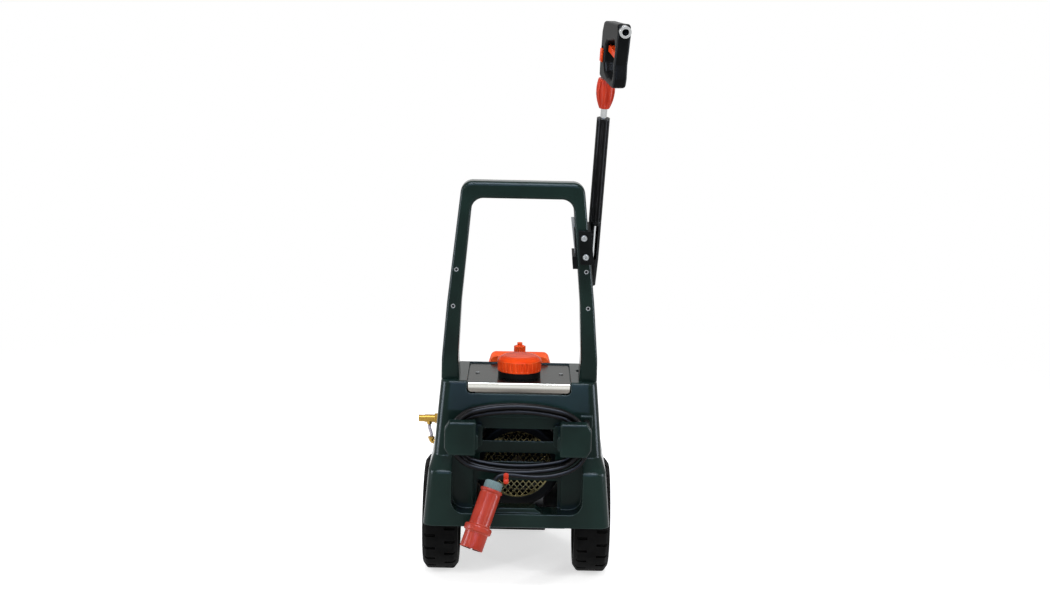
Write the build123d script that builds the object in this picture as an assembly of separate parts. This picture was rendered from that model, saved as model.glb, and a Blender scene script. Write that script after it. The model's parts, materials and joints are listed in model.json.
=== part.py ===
from build123d import *
import math
import os

# A cold water pressure washer on two wheels, in millimetres, seen from behind as the user stands.
# X points to the right, Y forward and Z up. Places in Y are measured from the axle, heights from the floor.
# Every piece moves by the origin's place as it is saved, so the origin is on the floor under the middle.
ORIGIN_X = -15.2
ORIGIN_Y = 43.8

# Fits between pieces
RUNNING_FIT = 0.05
FREE_GAP = 0.3
LOOSE_GAP = 1

# Wheels and axle
WHEEL_DIAMETER = 260
WHEEL_WIDTH = 80
WHEEL_TRACK = 340
TYRE_DEPTH = 50
TYRE_SEAT_WIDTH = 60
TREAD_BLOCKS = 24
TREAD_DEPTH = 7
TREAD_GROOVE = 8
RIM_WALL = 14
RIM_WEB = 9
RIM_HOLES = 6
RIM_HOLE_DIAMETER = 22
HUB_DIAMETER = 48
HUB_OUTER_END = 200
HUB_INNER_END = 123.5
AXLE_DIAMETER = 16
BUSH_WALL = 4
BUSH_LENGTH = 22
HUB_CAP_LENGTH = 8
HUB_CAP_DIAMETER = 40

# Body moulding: heights are stacked up from the axle
WALL = 4
DECK_THICKNESS = 6
ARCH_CLEARANCE = 16
ARCH_INNER_FACE = 122
ARCH_CROWN = 22
SKIRT_ABOVE_AXLE = 18
LEDGE_RISE = 26
CREASE_ABOVE_LEDGE = 102
DECK_ABOVE_LEDGE = 166
SKIRT_WIDTH = 412
BUMPER_WIDTH = 390
LEDGE_WIDTH = 372
CREASE_WIDTH = 355
DECK_WIDTH = 344
BUMPER_REAR = -165
LEDGE_REAR = -127
CREASE_REAR = -121
DECK_REAR = -112
BODY_FRONT = 165
FALL_START = 84
FALL_ANGLE = 17
CORNER_RADIUS = 24
DECK_EDGE_RADIUS = 6
BUMPER_EDGE_RADIUS = 10
KEEL_DEPTH = 18
KEEL_LENGTH = 90
KEEL_THICKNESS = 10

# Recess in the bumper, panel and air slots behind the cord
RECESS_WIDTH = 288
RECESS_BACK = -126
RECESS_LINING = 2.5
RECESS_CORNER = 28
SHELF_ABOVE_SKIRT = 30
HUMP_WIDTH = 116
HUMP_TOP_WIDTH = 80
HUMP_HEIGHT = 11
PANEL_WIDTH = 196
PANEL_BACK = -112
PANEL_TOP_ABOVE_LEDGE = 87
WINDOW_WIDTH = 180
WINDOW_HEIGHT = 62
SLOT_WIDTH = 168
LOW_SLOT_HEIGHT = 20
LOW_SLOT_DROP = 15
HIGH_SLOT_HEIGHT = 28
HIGH_SLOT_RISE = 32
SLOT_CORNER = 5

# Handle arch: half widths of its outside and inside, at heights above the deck
HANDLE_HEIGHT = 445
HANDLE_BAR = 37
HANDLE_WAIST = 176
HANDLE_KNEE = 48
HANDLE_OUTSIDE = (172, 171.4, 160.5, 130.5)
HANDLE_INSIDE = (132, 135, 129, 107.5)
HANDLE_CORNER = 26
HANDLE_BEND = 250
HANDLE_EDGE = 8
HANDLE_BASE_REAR = -95
HANDLE_BASE_FRONT = -15
HANDLE_TOP_REAR = -150
HANDLE_TOP_FRONT = -105
HANDLE_BOLT_DIAMETER = 8
HANDLE_BOLT_LENGTH = 45
BOLT_HEAD_FLATS = 13
BOLT_HEAD_HEIGHT = 5.5
HANDLE_BOLT_X = 152
HANDLE_BOLT_Y = (-72, -38)
INSERT_DIAMETER = 9
INSERT_BORE = 6
INSERT_LENGTH = 14
INSERT_PLACES = ((147, 169), (140.5, 252))

# Front cover
NOSE = 338
COVER_BEND = 262
COVER_BEND_SHARE = 0.94
NOSE_SHARE = 0.78
NOSE_TOP = 352
NOSE_RADIUS = 9
COVER_BOTTOM = 120
LOUVRES = 4
LOUVRE_WIDTH = 190
LOUVRE_HEIGHT = 12
LOUVRE_PITCH = 21
LOUVRE_RISE = 27
COVER_SCREW_Y = 182
COVER_SCREW_HEIGHTS = (205, 385)
SCREW_DIAMETER = 6
SCREW_HEAD_DIAMETER = 12
SCREW_HEAD_HEIGHT = 3.5
SCREW_SOCKET = 4

# Base tray and front foot
TRAY_BELOW_AXLE = 18
TRAY_THICKNESS = 3
TRAY_SIDE_GAP = 2
TRAY_REAR = -60
TRAY_FRONT = 326
TRAY_FLANGE = 36
FOOT_WIDTH = 144
FOOT_REAR = 259
FOOT_LENGTH = 32
FOOT_HEIGHT = 12

# Motor, fan and pump, on one shaft line that runs forward
MOTOR_SHAFT_HEIGHT = 145
MOTOR_DIAMETER = 156
MOTOR_FINS = 28
FIN_HEIGHT = 6
FIN_THICKNESS = 2.5
MOTOR_REAR = 0
MOTOR_LENGTH = 160
MOTOR_WALL = 8
STATOR_LENGTH = 95
STATOR_WALL = 24
AIR_GAP = 0.5
SHAFT_DIAMETER = 24
BEARING_DIAMETER = 42
BEARING_WIDTH = 12
MOTOR_FOOT_WIDTH = 24
MOTOR_FOOT_LENGTH = 80
MOTOR_FOOT_SPREAD = 50
COWL_DIAMETER = 196
COWL_LENGTH = 66
COWL_MOUTH_DIAMETER = 154
COWL_WALL = 3
FAN_DIAMETER = 140
FAN_BLADES = 9
FAN_LENGTH = 30
FAN_GAP = 4
GUARD_THICKNESS = 1.5
GUARD_PITCH = 15.4
GUARD_STRAND = 1.6
GUARD_STRETCH = 0.865
GUARD_RIM = 4
GUARD_SEAT = 5
CRANKCASE_DIAMETER = 116
CRANKCASE_LENGTH = 76
CRANKCASE_FLANGE = 10
SWASH_DIAMETER = 88
SWASH_THICKNESS = 12
SWASH_TILT = 9
PLUNGER_COUNT = 3
PLUNGER_DIAMETER = 15
PLUNGER_CIRCLE = 60
PLUNGER_LENGTH = 44
PUMP_HEAD_WIDTH = 112
PUMP_HEAD_LENGTH = 60
VALVE_PLUG_FLATS = 22
VALVE_PLUG_HEIGHT = 6
UNLOADER_DIAMETER = 30
UNLOADER_BODY_HEIGHT = 28
UNLOADER_CAP_FLATS = 24
UNLOADER_CAP_HEIGHT = 9
UNLOADER_STEM_DIAMETER = 12
UNLOADER_STEM_HEIGHT = 9

# Water fittings
OUTLET_REACH = 243
OUTLET_RISE = 18
OUTLET_THREAD_DIAMETER = 16.7
OUTLET_THREAD_LENGTH = 15
OUTLET_BORE = 9
OUTLET_FLATS = 22
OUTLET_NUT_LENGTH = 12
OUTLET_NECK_DIAMETER = 14
INJECTOR_DIAMETER = 19
INJECTOR_LENGTH = 24
BARB_FROM_END = 26
BARB_BOSS_DROP = 14
BARB_BOSS_DIAMETER = 11
BARB_LENGTH = 3
HOSE_DIAMETER = 8
HOSE_BORE = 6
HOSE_STRAIGHT = 9
VALVE_INSET = 5
HOSE_VALVE_DROP = 58
HOSE_VALVE_HEIGHT = 12
HOSE_VALVE_DIAMETER = 12
HOSE_VALVE_FLATS = 14
HOSE_VALVE_NUT = 5
HOSE_VALVE_INNER_BEND = 0.5
HOSE_VALVE_PIPE = 40
INLET_REACH = 16
INLET_X = -58
INLET_DROP = 38
INLET_THREAD_DIAMETER = 26.4
INLET_THREAD_LENGTH = 14
INLET_BORE = 17
INLET_FLATS = 27
INLET_TAIL_DIAMETER = 21
INLET_PIPE_DIAMETER = 15
INLET_OFFSET = 28
FITTING_ROOM = 4

# Steel top plate, detergent tank and its cap
PLATE_WIDTH = 224
PLATE_SINK = 3
PLATE_GAP = 3
PLATE_FRONT = 78
PLATE_THICKNESS = 1.5
PLATE_LIP = 21
PLATE_LIP_CORNER = 7
PLATE_BEND = 6
PLATE_SCREW_SPREAD = 188
PLATE_SCREW_Y = -18
PLATE_SCREW_HEAD_DIAMETER = 9
PLATE_SCREW_HEAD_HEIGHT = 1.8
PLATE_LUG_DIAMETER = 20
TANK_WIDTH = 206
TANK_REAR = -95
TANK_FRONT = 70
TANK_DEPTH = 94
TANK_WALL = 3
FILLER_Y = -30
NECK_DIAMETER = 80
NECK_WALL = 3
NECK_HEIGHT = 33
NECK_RING_WALL = 7.5
CAP_DIAMETER = 98
CAP_HEIGHT = 33
CAP_SKIRT = 23
CAP_TOP_DIAMETER = 62
CAP_BEAD = 3.5
CAP_WALL = 3
CAP_ABOVE_PLATE = 12.5
CAP_RIBS = 26
CAP_RIB_DEPTH = 1.5
SEAL_THICKNESS = 3

# Control hood with the pressure knob and the main switch
HOOD_WIDTH = 148
HOOD_REAR = 92
HOOD_LENGTH = 58
HOOD_TOP = 11
HOOD_TAPER = 9
HOOD_WALL = 3
HOOD_CORNER = 14
KNOB_DIAMETER = 27
KNOB_HEIGHT = 22
KNOB_TIP_DIAMETER = 12
KNOB_TIP_HEIGHT = 8
KNOB_FLUTES = 6
KNOB_FLUTE_DIAMETER = 5.4
KNOB_STEM_DIAMETER = 8
KNOB_SETBACK = 17
SWITCH_DIAMETER = 20
SWITCH_HEIGHT = 12
SWITCH_DIAL_HEIGHT = 4.5
SWITCH_GRIP_WIDTH = 6.6
SWITCH_STEM_DIAMETER = 6

# Cord hooks, cord, clip and plug
HOOK_X = 125
HOOK_WIDTH = 68
HOOK_HEIGHT = 75
HOOK_ABOVE_LEDGE = 57
HOOK_FACE = -197
HOOK_FLANGE = 23
HOOK_CHAMFER = 16
HOOK_CHAMFER_WIDTH = 9.6
HOOK_EDGE = 5
HOOK_SEAT = -127
HOOK_NECK_WIDTH = 22
HOOK_NECK_HEIGHT = 34
HOOK_NECK_X = 97
CORD_DIAMETER = 11
COIL_HALF_WIDTH = 150
COIL_HALF_HEIGHT = 81
COIL_CENTRE_ABOVE_LEDGE = 47
COIL_STEP = 12.9
COIL_SHOULDER = 13
COIL_FIRST = 1
COIL_LAYERS = 4
COIL_LAYER_QUARTERS = 5
COIL_LAYER_DEPTH = 11.5
COIL_BACK_LAYER = -133
CORD_GAP_LIMIT = 0.4
ARC_SHARE = 0.45
GLAND_OFFSET = 34
GLAND_DIAMETER = 13.6
GLAND_TIP_DIAMETER = 12
GLAND_INNER_BEND = 0.5
GLAND_SEAT = -124
GLAND_SEAT_SIZE = 26
TAIL_ROUTE = (
    (150, -167.5, 345),
    (150, -167.5, 320),
    (138.5, -169.5, 296),
    (113.5, -173.5, 280),
    (78, -177, 270),
    (44, -179, 267.5),
    (13, -180.5, 269.5),
    (-13, -181.8, 273),
    (-33, -183, 272.8),
    (-45.383, -184.273, 267.241),
    (-48.5, -188, 258.5),
)
PLUG_NUT_DIAMETER = 40
PLUG_NUT_LENGTH = 18
PLUG_NUT_RIBS = 20
PLUG_RING_DIAMETER = 49
PLUG_RING_LENGTH = 7
PLUG_BODY_DIAMETER = 46
PLUG_BODY_LENGTH = 76
PLUG_COLLAR_DIAMETER = 61
PLUG_COLLAR_LENGTH = 15
PLUG_SLEEVE_DIAMETER = 51
PLUG_SLEEVE_LENGTH = 37
PLUG_SLEEVE_WALL = 3
PLUG_KEYWAY_WIDTH = 4
PLUG_KEYWAY_LENGTH = 15
PLUG_PIN_DIAMETER = 5
PLUG_PIN_LENGTH = 32
PLUG_PIN_CIRCLE = 28
PLUG_PINS = 4
CLIP_RUN = 7
CLIP_SHARE = 0.57
CLIP_WIDTH = 11
CLIP_THICKNESS = 2
CLIP_EYE_DIAMETER = 13
CLIP_EYE_HOLE = 7

# Lance: its line leans back beside the handle, and distances run along it from the deck
LANCE_FOOT_X = 144
LANCE_FOOT_Y = 6
LANCE_LEAN_X = 0.042
LANCE_LEAN_Y = -0.19
LANCE_YAW = 11
LANCE_TIP = -158
LANCE_TUBE_DIAMETER = 14
LANCE_TUBE_BORE = 9
NOZZLE_DIAMETER = 19
NOZZLE_LENGTH = 40
NOZZLE_BORE = 3
GRIP_START = 358
GRIP_LENGTH = 234
GRIP_DIAMETER = 28
GRIP_FLUTES = 12
GRIP_FLUTE_DIAMETER = 4
NIPPLE_LENGTH = 22
NUT_LENGTH = 64
NUT_TOP_DIAMETER = 34
NUT_BULGE_DIAMETER = 40
NUT_BULGE_HEIGHT = 44
NUT_BOTTOM_DIAMETER = 22
NUT_FLUTES = 8
NUT_FLUTE_DIAMETER = 9
NUT_FLUTE_SINK = 4
WELL_BORE = 32
WELL_WALL = 3
WELL_DEPTH = 166

# Lance holder on the right arm: places along the arm's rear face, from the deck
HOLDER_LOW = 270
HOLDER_HIGH = 345
HOLDER_PLATE = 6
HOLDER_REVEAL = 5
HOLDER_WEB = 6
HOLDER_DEPTH = 74
HOLDER_BRIDGE = 18
LEG_THICKNESS = 4.4
LEG_DEPTH = 30
TOE_LOW = 256
TOE_HIGH = 284
TOE_REACH = 7
CHANNEL_BORE = 21
CHANNEL_WALL = 3.5
CHANNEL_LENGTH = 84
CHANNEL_MOUTH = 16.5
CHANNEL_LINTEL = 5
CHANNEL_TAPER_LENGTH = 62
CHANNEL_TAPER_DIAMETER = 24
CHANNEL_TAPER_BORE = 20
BRACKET_THICKNESS = 3
BRACKET_PROUD = 9.5
BRACKET_FOOT = 5.5
BRACKET_FLANGE = 24
BRACKET_LOW = 286
BRACKET_HIGH = 366
HOLDER_SCREW_PLACES = ((138, 287), (133, 329))
HOLDER_SCREW_DIAMETER = 6
HOLDER_SCREW_LENGTH = 34
HOLDER_HEAD_DIAMETER = 14
HOLDER_HEAD_HEIGHT = 5
HOLDER_HEAD_CROWN = 3.5

# Spray gun: points as (towards the user, along the lance above the coupling nut)
GUN_THICKNESS = 28
GUN_EDGE = 6
GUN_OUTLINE = (
    (-13, 2), (-17, 34), (-17, 100), (-7, 122), (28, 127), (80, 135), (113, 141),
    (121, 122), (118, 90), (113, 56), (117, 26), (112, 8), (95, 3),
)
GUN_OPENING = (
    (20, 40), (20, 76), (32, 88), (66, 96), (92, 104), (101, 88), (96, 56), (100, 30), (90, 18), (58, 17), (32, 24),
)
GUN_CORNER = 9
GUN_SOCKET = 24
TRIGGER_OUTLINE = ((4, 75), (30, 77), (60, 74), (86, 70), (89, 60), (60, 62), (30, 63), (4, 62))
TRIGGER_PIVOT = (11, 69)
TRIGGER_CORNER = 3
TRIGGER_PIN_DIAMETER = 5
TRIGGER_THICKNESS = 12
TRIGGER_ROOM = 4
LATCH_WIDTH = 15
LATCH_LENGTH = 27
LATCH_HEIGHT = 5
LATCH_DEPTH = 2
LATCH_TRAVEL = 6
LATCH_START = 37
INLET_RING_DIAMETER = 25
INLET_RING_BORE = 14.5
INLET_RING_START = 100
INLET_RING_LENGTH = 25
INLET_RING_HEIGHT = 126.5

# Heights and places that follow from the sizes above
AXLE_HEIGHT = WHEEL_DIAMETER / 2
ARCH_RADIUS = WHEEL_DIAMETER / 2 + ARCH_CLEARANCE
SKIRT_BOTTOM = AXLE_HEIGHT + SKIRT_ABOVE_AXLE
LEDGE = AXLE_HEIGHT + ARCH_RADIUS + ARCH_CROWN
BUMPER_TOP = LEDGE - LEDGE_RISE
CREASE = LEDGE + CREASE_ABOVE_LEDGE
DECK = LEDGE + DECK_ABOVE_LEDGE
SHELF = SKIRT_BOTTOM + SHELF_ABOVE_SKIRT
TRAY_BOTTOM = AXLE_HEIGHT - TRAY_BELOW_AXLE
TRAY_TOP = TRAY_BOTTOM + TRAY_THICKNESS
SHAFT = TRAY_TOP + MOTOR_SHAFT_HEIGHT
PLATE_TOP = DECK - PLATE_SINK
PLATE_SEAT = PLATE_TOP - PLATE_THICKNESS
PUMP_START = MOTOR_REAR + MOTOR_LENGTH
HEAD_START = PUMP_START + CRANKCASE_LENGTH
HEAD_END = HEAD_START + PUMP_HEAD_LENGTH
HEAD_MIDDLE = (HEAD_START + HEAD_END) / 2
OUTLET_HEIGHT = SHAFT + OUTLET_RISE
NUT_START = GRIP_START + GRIP_LENGTH + NIPPLE_LENGTH
GUN_START = NUT_START + NUT_LENGTH
COIL_CENTRE = LEDGE + COIL_CENTRE_ABOVE_LEDGE
LANCE_LINE = Plane(
    origin=(LANCE_FOOT_X, LANCE_FOOT_Y, DECK),
    x_dir=(math.cos(math.radians(LANCE_YAW)), math.sin(math.radians(LANCE_YAW)), 0),
    z_dir=(LANCE_LEAN_X, LANCE_LEAN_Y, 1),
)
ARM_REAR = Plane(
    origin=(0, HANDLE_BASE_REAR, DECK),
    x_dir=(1, 0, 0),
    z_dir=(0, -HANDLE_HEIGHT, HANDLE_TOP_REAR - HANDLE_BASE_REAR),
)
PLUG_WAY = Vector(*TAIL_ROUTE[-1]) - Vector(*TAIL_ROUTE[-2])
PLUG_LINE = Plane(origin=TAIL_ROUTE[-1], x_dir=(1, 0, 0), z_dir=PLUG_WAY)


# Small helpers
def block(x, y, z):
    """A box between pairs of low and high limits."""
    middle = [(low + high) / 2 for low, high in (x, y, z)]
    return Pos(*middle) * Box(x[1] - x[0], y[1] - y[0], z[1] - z[0])


def rod(start, end, diameter, end_diameter=None):
    """A round bar, or a cone, from one point to another."""
    line = Vector(*end) - Vector(*start)
    place = Plane(origin=start, z_dir=line)
    base = (Align.CENTER, Align.CENTER, Align.MIN)
    if end_diameter is None:
        return place * Cylinder(diameter / 2, line.length, align=base)
    return place * Cone(diameter / 2, end_diameter / 2, line.length, align=base)


def upright(x, y, low, high, diameter):
    """A round bar that stands at one place."""
    return rod((x, y, low), (x, y, high), diameter)


def across(inner, outer, y, z, diameter):
    """A round bar that lies from side to side."""
    return rod((inner, y, z), (outer, y, z), diameter)


def facing_rear(y, z=0):
    """A plane across the machine that faces the user."""
    return Plane(origin=(0, y, z), x_dir=(1, 0, 0), z_dir=(0, -1, 0))


def hexagon(start, end, flats):
    """A six-sided bar from one point to another."""
    line = Vector(*end) - Vector(*start)
    outline = RegularPolygon(flats / 2, 6, major_radius=False)
    return Plane(origin=start, z_dir=line) * extrude(outline, line.length)


def both_sides(shape):
    """A piece with its mirror image across the middle of the machine."""
    return shape + mirror(shape, about=Plane.YZ)


def mirrored(points):
    """Half outline points, followed by their mirror images in reverse order."""
    return list(points) + [(-x, z) for x, z in reversed(points)]


def flat_outline(points, corner):
    """A face with all corners rounded alike."""
    face = make_face(Polyline(*points, close=True))
    return fillet(face.vertices(), corner)


def level_edges(shape, height):
    """Edges that lie at one height."""
    return [edge for edge in shape.edges() if abs(edge.bounding_box().min.Z - height) < 0.01
            and abs(edge.bounding_box().max.Z - height) < 0.01]


def round_sweep(path, diameter):
    """A round bar along a path."""
    return sweep(Plane(origin=path @ 0, z_dir=path % 0) * Circle(diameter / 2), path=path)


# Wheels
def tyre(side):
    outer = WHEEL_DIAMETER / 2
    inner = outer - TYRE_DEPTH
    half = WHEEL_WIDTH / 2
    seat = TYRE_SEAT_WIDTH / 2
    crown = outer - TREAD_DEPTH
    points = [(seat, inner), (half, inner + TYRE_DEPTH / 3), (half, crown - TREAD_DEPTH), (seat, outer)]
    section = make_face(Polyline(*mirrored(points), close=True))
    rounded = [v for v in section.vertices() if v.Y > inner + 1]
    ring = revolve(fillet(rounded, TREAD_DEPTH), Axis.X)
    pitch = 360 / TREAD_BLOCKS
    groove = block((half / 4, WHEEL_WIDTH), (-TREAD_GROOVE / 2, TREAD_GROOVE / 2), (crown, outer + LOOSE_GAP))
    grooves = []
    for count in range(TREAD_BLOCKS):
        grooves.append(Rot(count * pitch, 0, 0) * groove)
        grooves.append(Rot((count + 0.5) * pitch, 0, 0) * mirror(groove, about=Plane.YZ))
    return Pos(side * WHEEL_TRACK / 2, 0, AXLE_HEIGHT) * (ring - grooves)


def rim(side):
    seat_radius = WHEEL_DIAMETER / 2 - TYRE_DEPTH
    seat = TYRE_SEAT_WIDTH / 2
    middle = WHEEL_TRACK / 2
    web = RIM_WEB / 2
    barrel = rod((-seat, 0, 0), (seat, 0, 0), 2 * seat_radius)
    hollow = rod((-seat, 0, 0), (seat, 0, 0), 2 * (seat_radius - RIM_WALL))
    disc = rod((-web, 0, 0), (web, 0, 0), 2 * seat_radius - RIM_WALL)
    hub = rod((HUB_INNER_END - middle, 0, 0), (HUB_OUTER_END - middle, 0, 0), HUB_DIAMETER)
    bore = rod((-WHEEL_WIDTH, 0, 0), (WHEEL_WIDTH, 0, 0), AXLE_DIAMETER + 2 * BUSH_WALL + 2 * RUNNING_FIT)
    hole_circle = (HUB_DIAMETER / 2 + seat_radius - RIM_WALL) / 2
    hole = rod((-seat, 0, hole_circle), (seat, 0, hole_circle), RIM_HOLE_DIAMETER)
    holes = [Rot(360 * count / RIM_HOLES, 0, 0) * hole for count in range(RIM_HOLES)]
    wheel = (barrel - hollow) + disc + hub - bore - holes
    if side < 0:
        wheel = mirror(wheel, about=Plane.YZ)
    return Pos(side * middle, 0, AXLE_HEIGHT) * wheel


def bushes(side):
    outside = AXLE_DIAMETER + 2 * BUSH_WALL + 2 * RUNNING_FIT
    ends = ((HUB_INNER_END, HUB_INNER_END + BUSH_LENGTH), (HUB_OUTER_END - BUSH_LENGTH, HUB_OUTER_END))
    rings = []
    for start, end in ends:
        ring = rod((start, 0, AXLE_HEIGHT), (end, 0, AXLE_HEIGHT), outside)
        ring -= rod((start, 0, AXLE_HEIGHT), (end, 0, AXLE_HEIGHT), AXLE_DIAMETER + 2 * RUNNING_FIT)
        rings.append(ring if side > 0 else mirror(ring, about=Plane.YZ))
    return rings


def axle():
    end = HUB_OUTER_END + HUB_CAP_LENGTH - WALL / 2
    return rod((-end, 0, AXLE_HEIGHT), (end, 0, AXLE_HEIGHT), AXLE_DIAMETER)


def hub_caps():
    start = HUB_OUTER_END + FREE_GAP
    cap = rod((start, 0, AXLE_HEIGHT), (HUB_OUTER_END + HUB_CAP_LENGTH, 0, AXLE_HEIGHT), HUB_CAP_DIAMETER,
              HUB_CAP_DIAMETER - HUB_CAP_LENGTH)
    cap -= axle()
    return [cap, mirror(cap, about=Plane.YZ)]


# Body moulding
def body_level(height, width, rear, inset):
    length = 2 * BODY_FRONT - rear - inset
    outline = RectangleRounded(width - 2 * inset, length, CORNER_RADIUS - inset)
    return Pos(0, rear + inset + length / 2, height) * outline


def body_form(inset, bottom, top):
    """The body's outside, or its hollow when inset by the wall."""
    levels = [
        body_level(bottom, SKIRT_WIDTH, BUMPER_REAR, inset),
        body_level(BUMPER_TOP, BUMPER_WIDTH, BUMPER_REAR, inset),
        body_level(LEDGE - inset, LEDGE_WIDTH, LEDGE_REAR, inset),
        body_level(CREASE, CREASE_WIDTH, CREASE_REAR, inset),
        body_level(top, DECK_WIDTH, DECK_REAR, inset),
    ]
    return loft(levels, ruled=True)


def deck_height(y):
    """The deck is level, then falls away to the front."""
    return DECK - max(0, y - FALL_START) * math.tan(math.radians(FALL_ANGLE))


def fall_space(drop):
    """Room above the falling deck, lowered by a drop."""
    far = 2 * NOSE
    points = (
        (FALL_START, DECK - drop), (far, deck_height(far) - drop),
        (far, 2 * DECK), (FALL_START, 2 * DECK),
    )
    return extrude(Plane.YZ * make_face(Polyline(*points, close=True)), SKIRT_WIDTH, both=True)


def wheel_arches(radius, inner_face):
    arch = rod((inner_face, 0, AXLE_HEIGHT), (SKIRT_WIDTH, 0, AXLE_HEIGHT), 2 * radius)
    drop = block((inner_face, SKIRT_WIDTH), (-radius, radius), (0, AXLE_HEIGHT))
    return both_sides(arch + drop)


def recess_space(grow):
    """The hollow across the bumper, open above the ledge."""
    low = SHELF - grow
    high = LEDGE + RECESS_CORNER
    outline = RectangleRounded(RECESS_WIDTH + 2 * grow, high + RECESS_CORNER - low, RECESS_CORNER)
    depth = RECESS_BACK + grow - 2 * BUMPER_REAR
    return facing_rear(RECESS_BACK + grow, (low + high + RECESS_CORNER) / 2) * extrude(outline, depth)


def panel_space(grow):
    """The shallow panel behind the cord, from the shelf up."""
    half = PANEL_WIDTH / 2 + grow
    top = LEDGE + PANEL_TOP_ABOVE_LEDGE + grow
    return block((-half, half), (2 * BUMPER_REAR, PANEL_BACK + grow), (SHELF - grow, top))


def rear_slot(width, bottom, height):
    outline = RectangleRounded(width, height, SLOT_CORNER)
    return facing_rear(PANEL_BACK + 2 * WALL, bottom + height / 2) * extrude(outline, 4 * WALL)


def shelf_hump():
    points = [(HUMP_WIDTH / 2, SHELF - WALL / 2), (HUMP_TOP_WIDTH / 2, SHELF + HUMP_HEIGHT)]
    outline = make_face(Polyline(*mirrored(points), close=True))
    return facing_rear(PANEL_BACK) * extrude(outline, PANEL_BACK - BUMPER_REAR - BUMPER_EDGE_RADIUS)


def lance_well(diameter, bottom):
    return LANCE_LINE * rod((0, 0, bottom), (0, 0, DECK_THICKNESS * 2), diameter)


def cover_bosses():
    """Blocks inside the body's front edge that take the cover's screws."""
    bosses = []
    for height in COVER_SCREW_HEIGHTS:
        outer = cover_half_width(height) - 3 * WALL
        inner = outer - 2 * SCREW_DIAMETER
        boss = block((inner, outer), (BODY_FRONT - 6 * WALL, COVER_SCREW_Y + 2 * SCREW_DIAMETER),
                     (height - 2 * SCREW_DIAMETER, height + 2 * SCREW_DIAMETER))
        tie = block((inner, cover_half_width(height) - WALL / 2), (BODY_FRONT - 6 * WALL, BODY_FRONT - WALL),
                    (height - 2 * SCREW_DIAMETER, height + 2 * SCREW_DIAMETER))
        bosses.append(boss + tie)
    return bosses


def keel():
    inner = ARCH_INNER_FACE - KEEL_THICKNESS
    return block((inner, ARCH_INNER_FACE), (-KEEL_LENGTH / 2, KEEL_LENGTH / 2),
                 (AXLE_HEIGHT - KEEL_DEPTH, SKIRT_BOTTOM + KEEL_DEPTH))


def chassis_shell():
    outside = body_form(0, SKIRT_BOTTOM, DECK)
    outside = fillet(level_edges(outside, DECK), DECK_EDGE_RADIUS)
    outside = fillet(level_edges(outside, BUMPER_TOP), BUMPER_EDGE_RADIUS)
    hollow = body_form(WALL, SKIRT_BOTTOM - LOOSE_GAP, DECK - DECK_THICKNESS)
    hollow -= wheel_arches(ARCH_RADIUS + WALL, ARCH_INNER_FACE - WALL)
    hollow -= recess_space(WALL)
    hollow -= panel_space(WALL)
    hollow -= fall_space(DECK_THICKNESS)
    shell = outside - fall_space(0) - hollow
    shell -= wheel_arches(ARCH_RADIUS, ARCH_INNER_FACE) - recess_space(RECESS_LINING)
    shell -= block((-SKIRT_WIDTH, SKIRT_WIDTH), (BODY_FRONT, 3 * BODY_FRONT), (0, 2 * DECK))
    shell -= recess_space(0)
    shell -= panel_space(0)
    shell += shelf_hump()
    shell -= rear_slot(WINDOW_WIDTH, SHELF, WINDOW_HEIGHT)
    shell -= rear_slot(SLOT_WIDTH, LEDGE - LOW_SLOT_DROP, LOW_SLOT_HEIGHT)
    shell -= rear_slot(SLOT_WIDTH, LEDGE + HIGH_SLOT_RISE, HIGH_SLOT_HEIGHT)
    shell += both_sides(keel())
    shell += hook_seat()
    shell += gland_seat()
    for boss in cover_bosses():
        shell += both_sides(boss)
    shell += lance_well(WELL_BORE + 2 * WELL_WALL, -WELL_DEPTH - WELL_WALL)
    shell -= LANCE_LINE * rod((0, 0, -WELL_DEPTH), (0, 0, 4 * DECK_THICKNESS), WELL_BORE)
    shell -= block((-SKIRT_WIDTH, SKIRT_WIDTH), (DECK_REAR, BODY_FRONT), (DECK, 2 * DECK))
    shell -= plate_space()
    shell -= tank_opening()
    shell -= hood_openings()
    for hole in chassis_holes():
        shell -= hole
    return shell


def chassis_holes():
    """Holes for the axle, bolts, screws and the cord's gland."""
    holes = [across(-SKIRT_WIDTH, SKIRT_WIDTH, 0, AXLE_HEIGHT, AXLE_DIAMETER + 2 * FREE_GAP)]
    bolt_hole = HANDLE_BOLT_DIAMETER + 2 * FREE_GAP
    for y in HANDLE_BOLT_Y:
        holes.append(both_sides(upright(HANDLE_BOLT_X, y, DECK - 2 * DECK_THICKNESS, DECK + WALL, bolt_hole)))
    for height in COVER_SCREW_HEIGHTS:
        reach = cover_half_width(height)
        hole = across(reach - 8 * WALL, reach + WALL, COVER_SCREW_Y, height, SCREW_DIAMETER)
        holes.append(both_sides(hole))
    x, height = gland_place()
    holes.append(rod((x, GLAND_SEAT - WALL, height), (x, GLAND_SEAT + 6 * WALL, height), GLAND_DIAMETER))
    holes.append(both_sides(plate_screw_rod(PLATE_SEAT - 3 * DECK_THICKNESS, DECK, SCREW_DIAMETER)))
    return holes


# Handle arch
def handle_outline(halves, top, corner):
    heights = (DECK, DECK + HANDLE_KNEE, DECK + HANDLE_WAIST, top)
    face = make_face(Polyline(*mirrored(list(zip(halves, heights))), close=True))
    face = fillet([v for v in face.vertices() if v.Y > top - 1], corner)
    knees = [v for v in face.vertices() if min(abs(v.Y - heights[1]), abs(v.Y - heights[2])) < 0.01]
    return fillet(knees, HANDLE_BEND)


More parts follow.
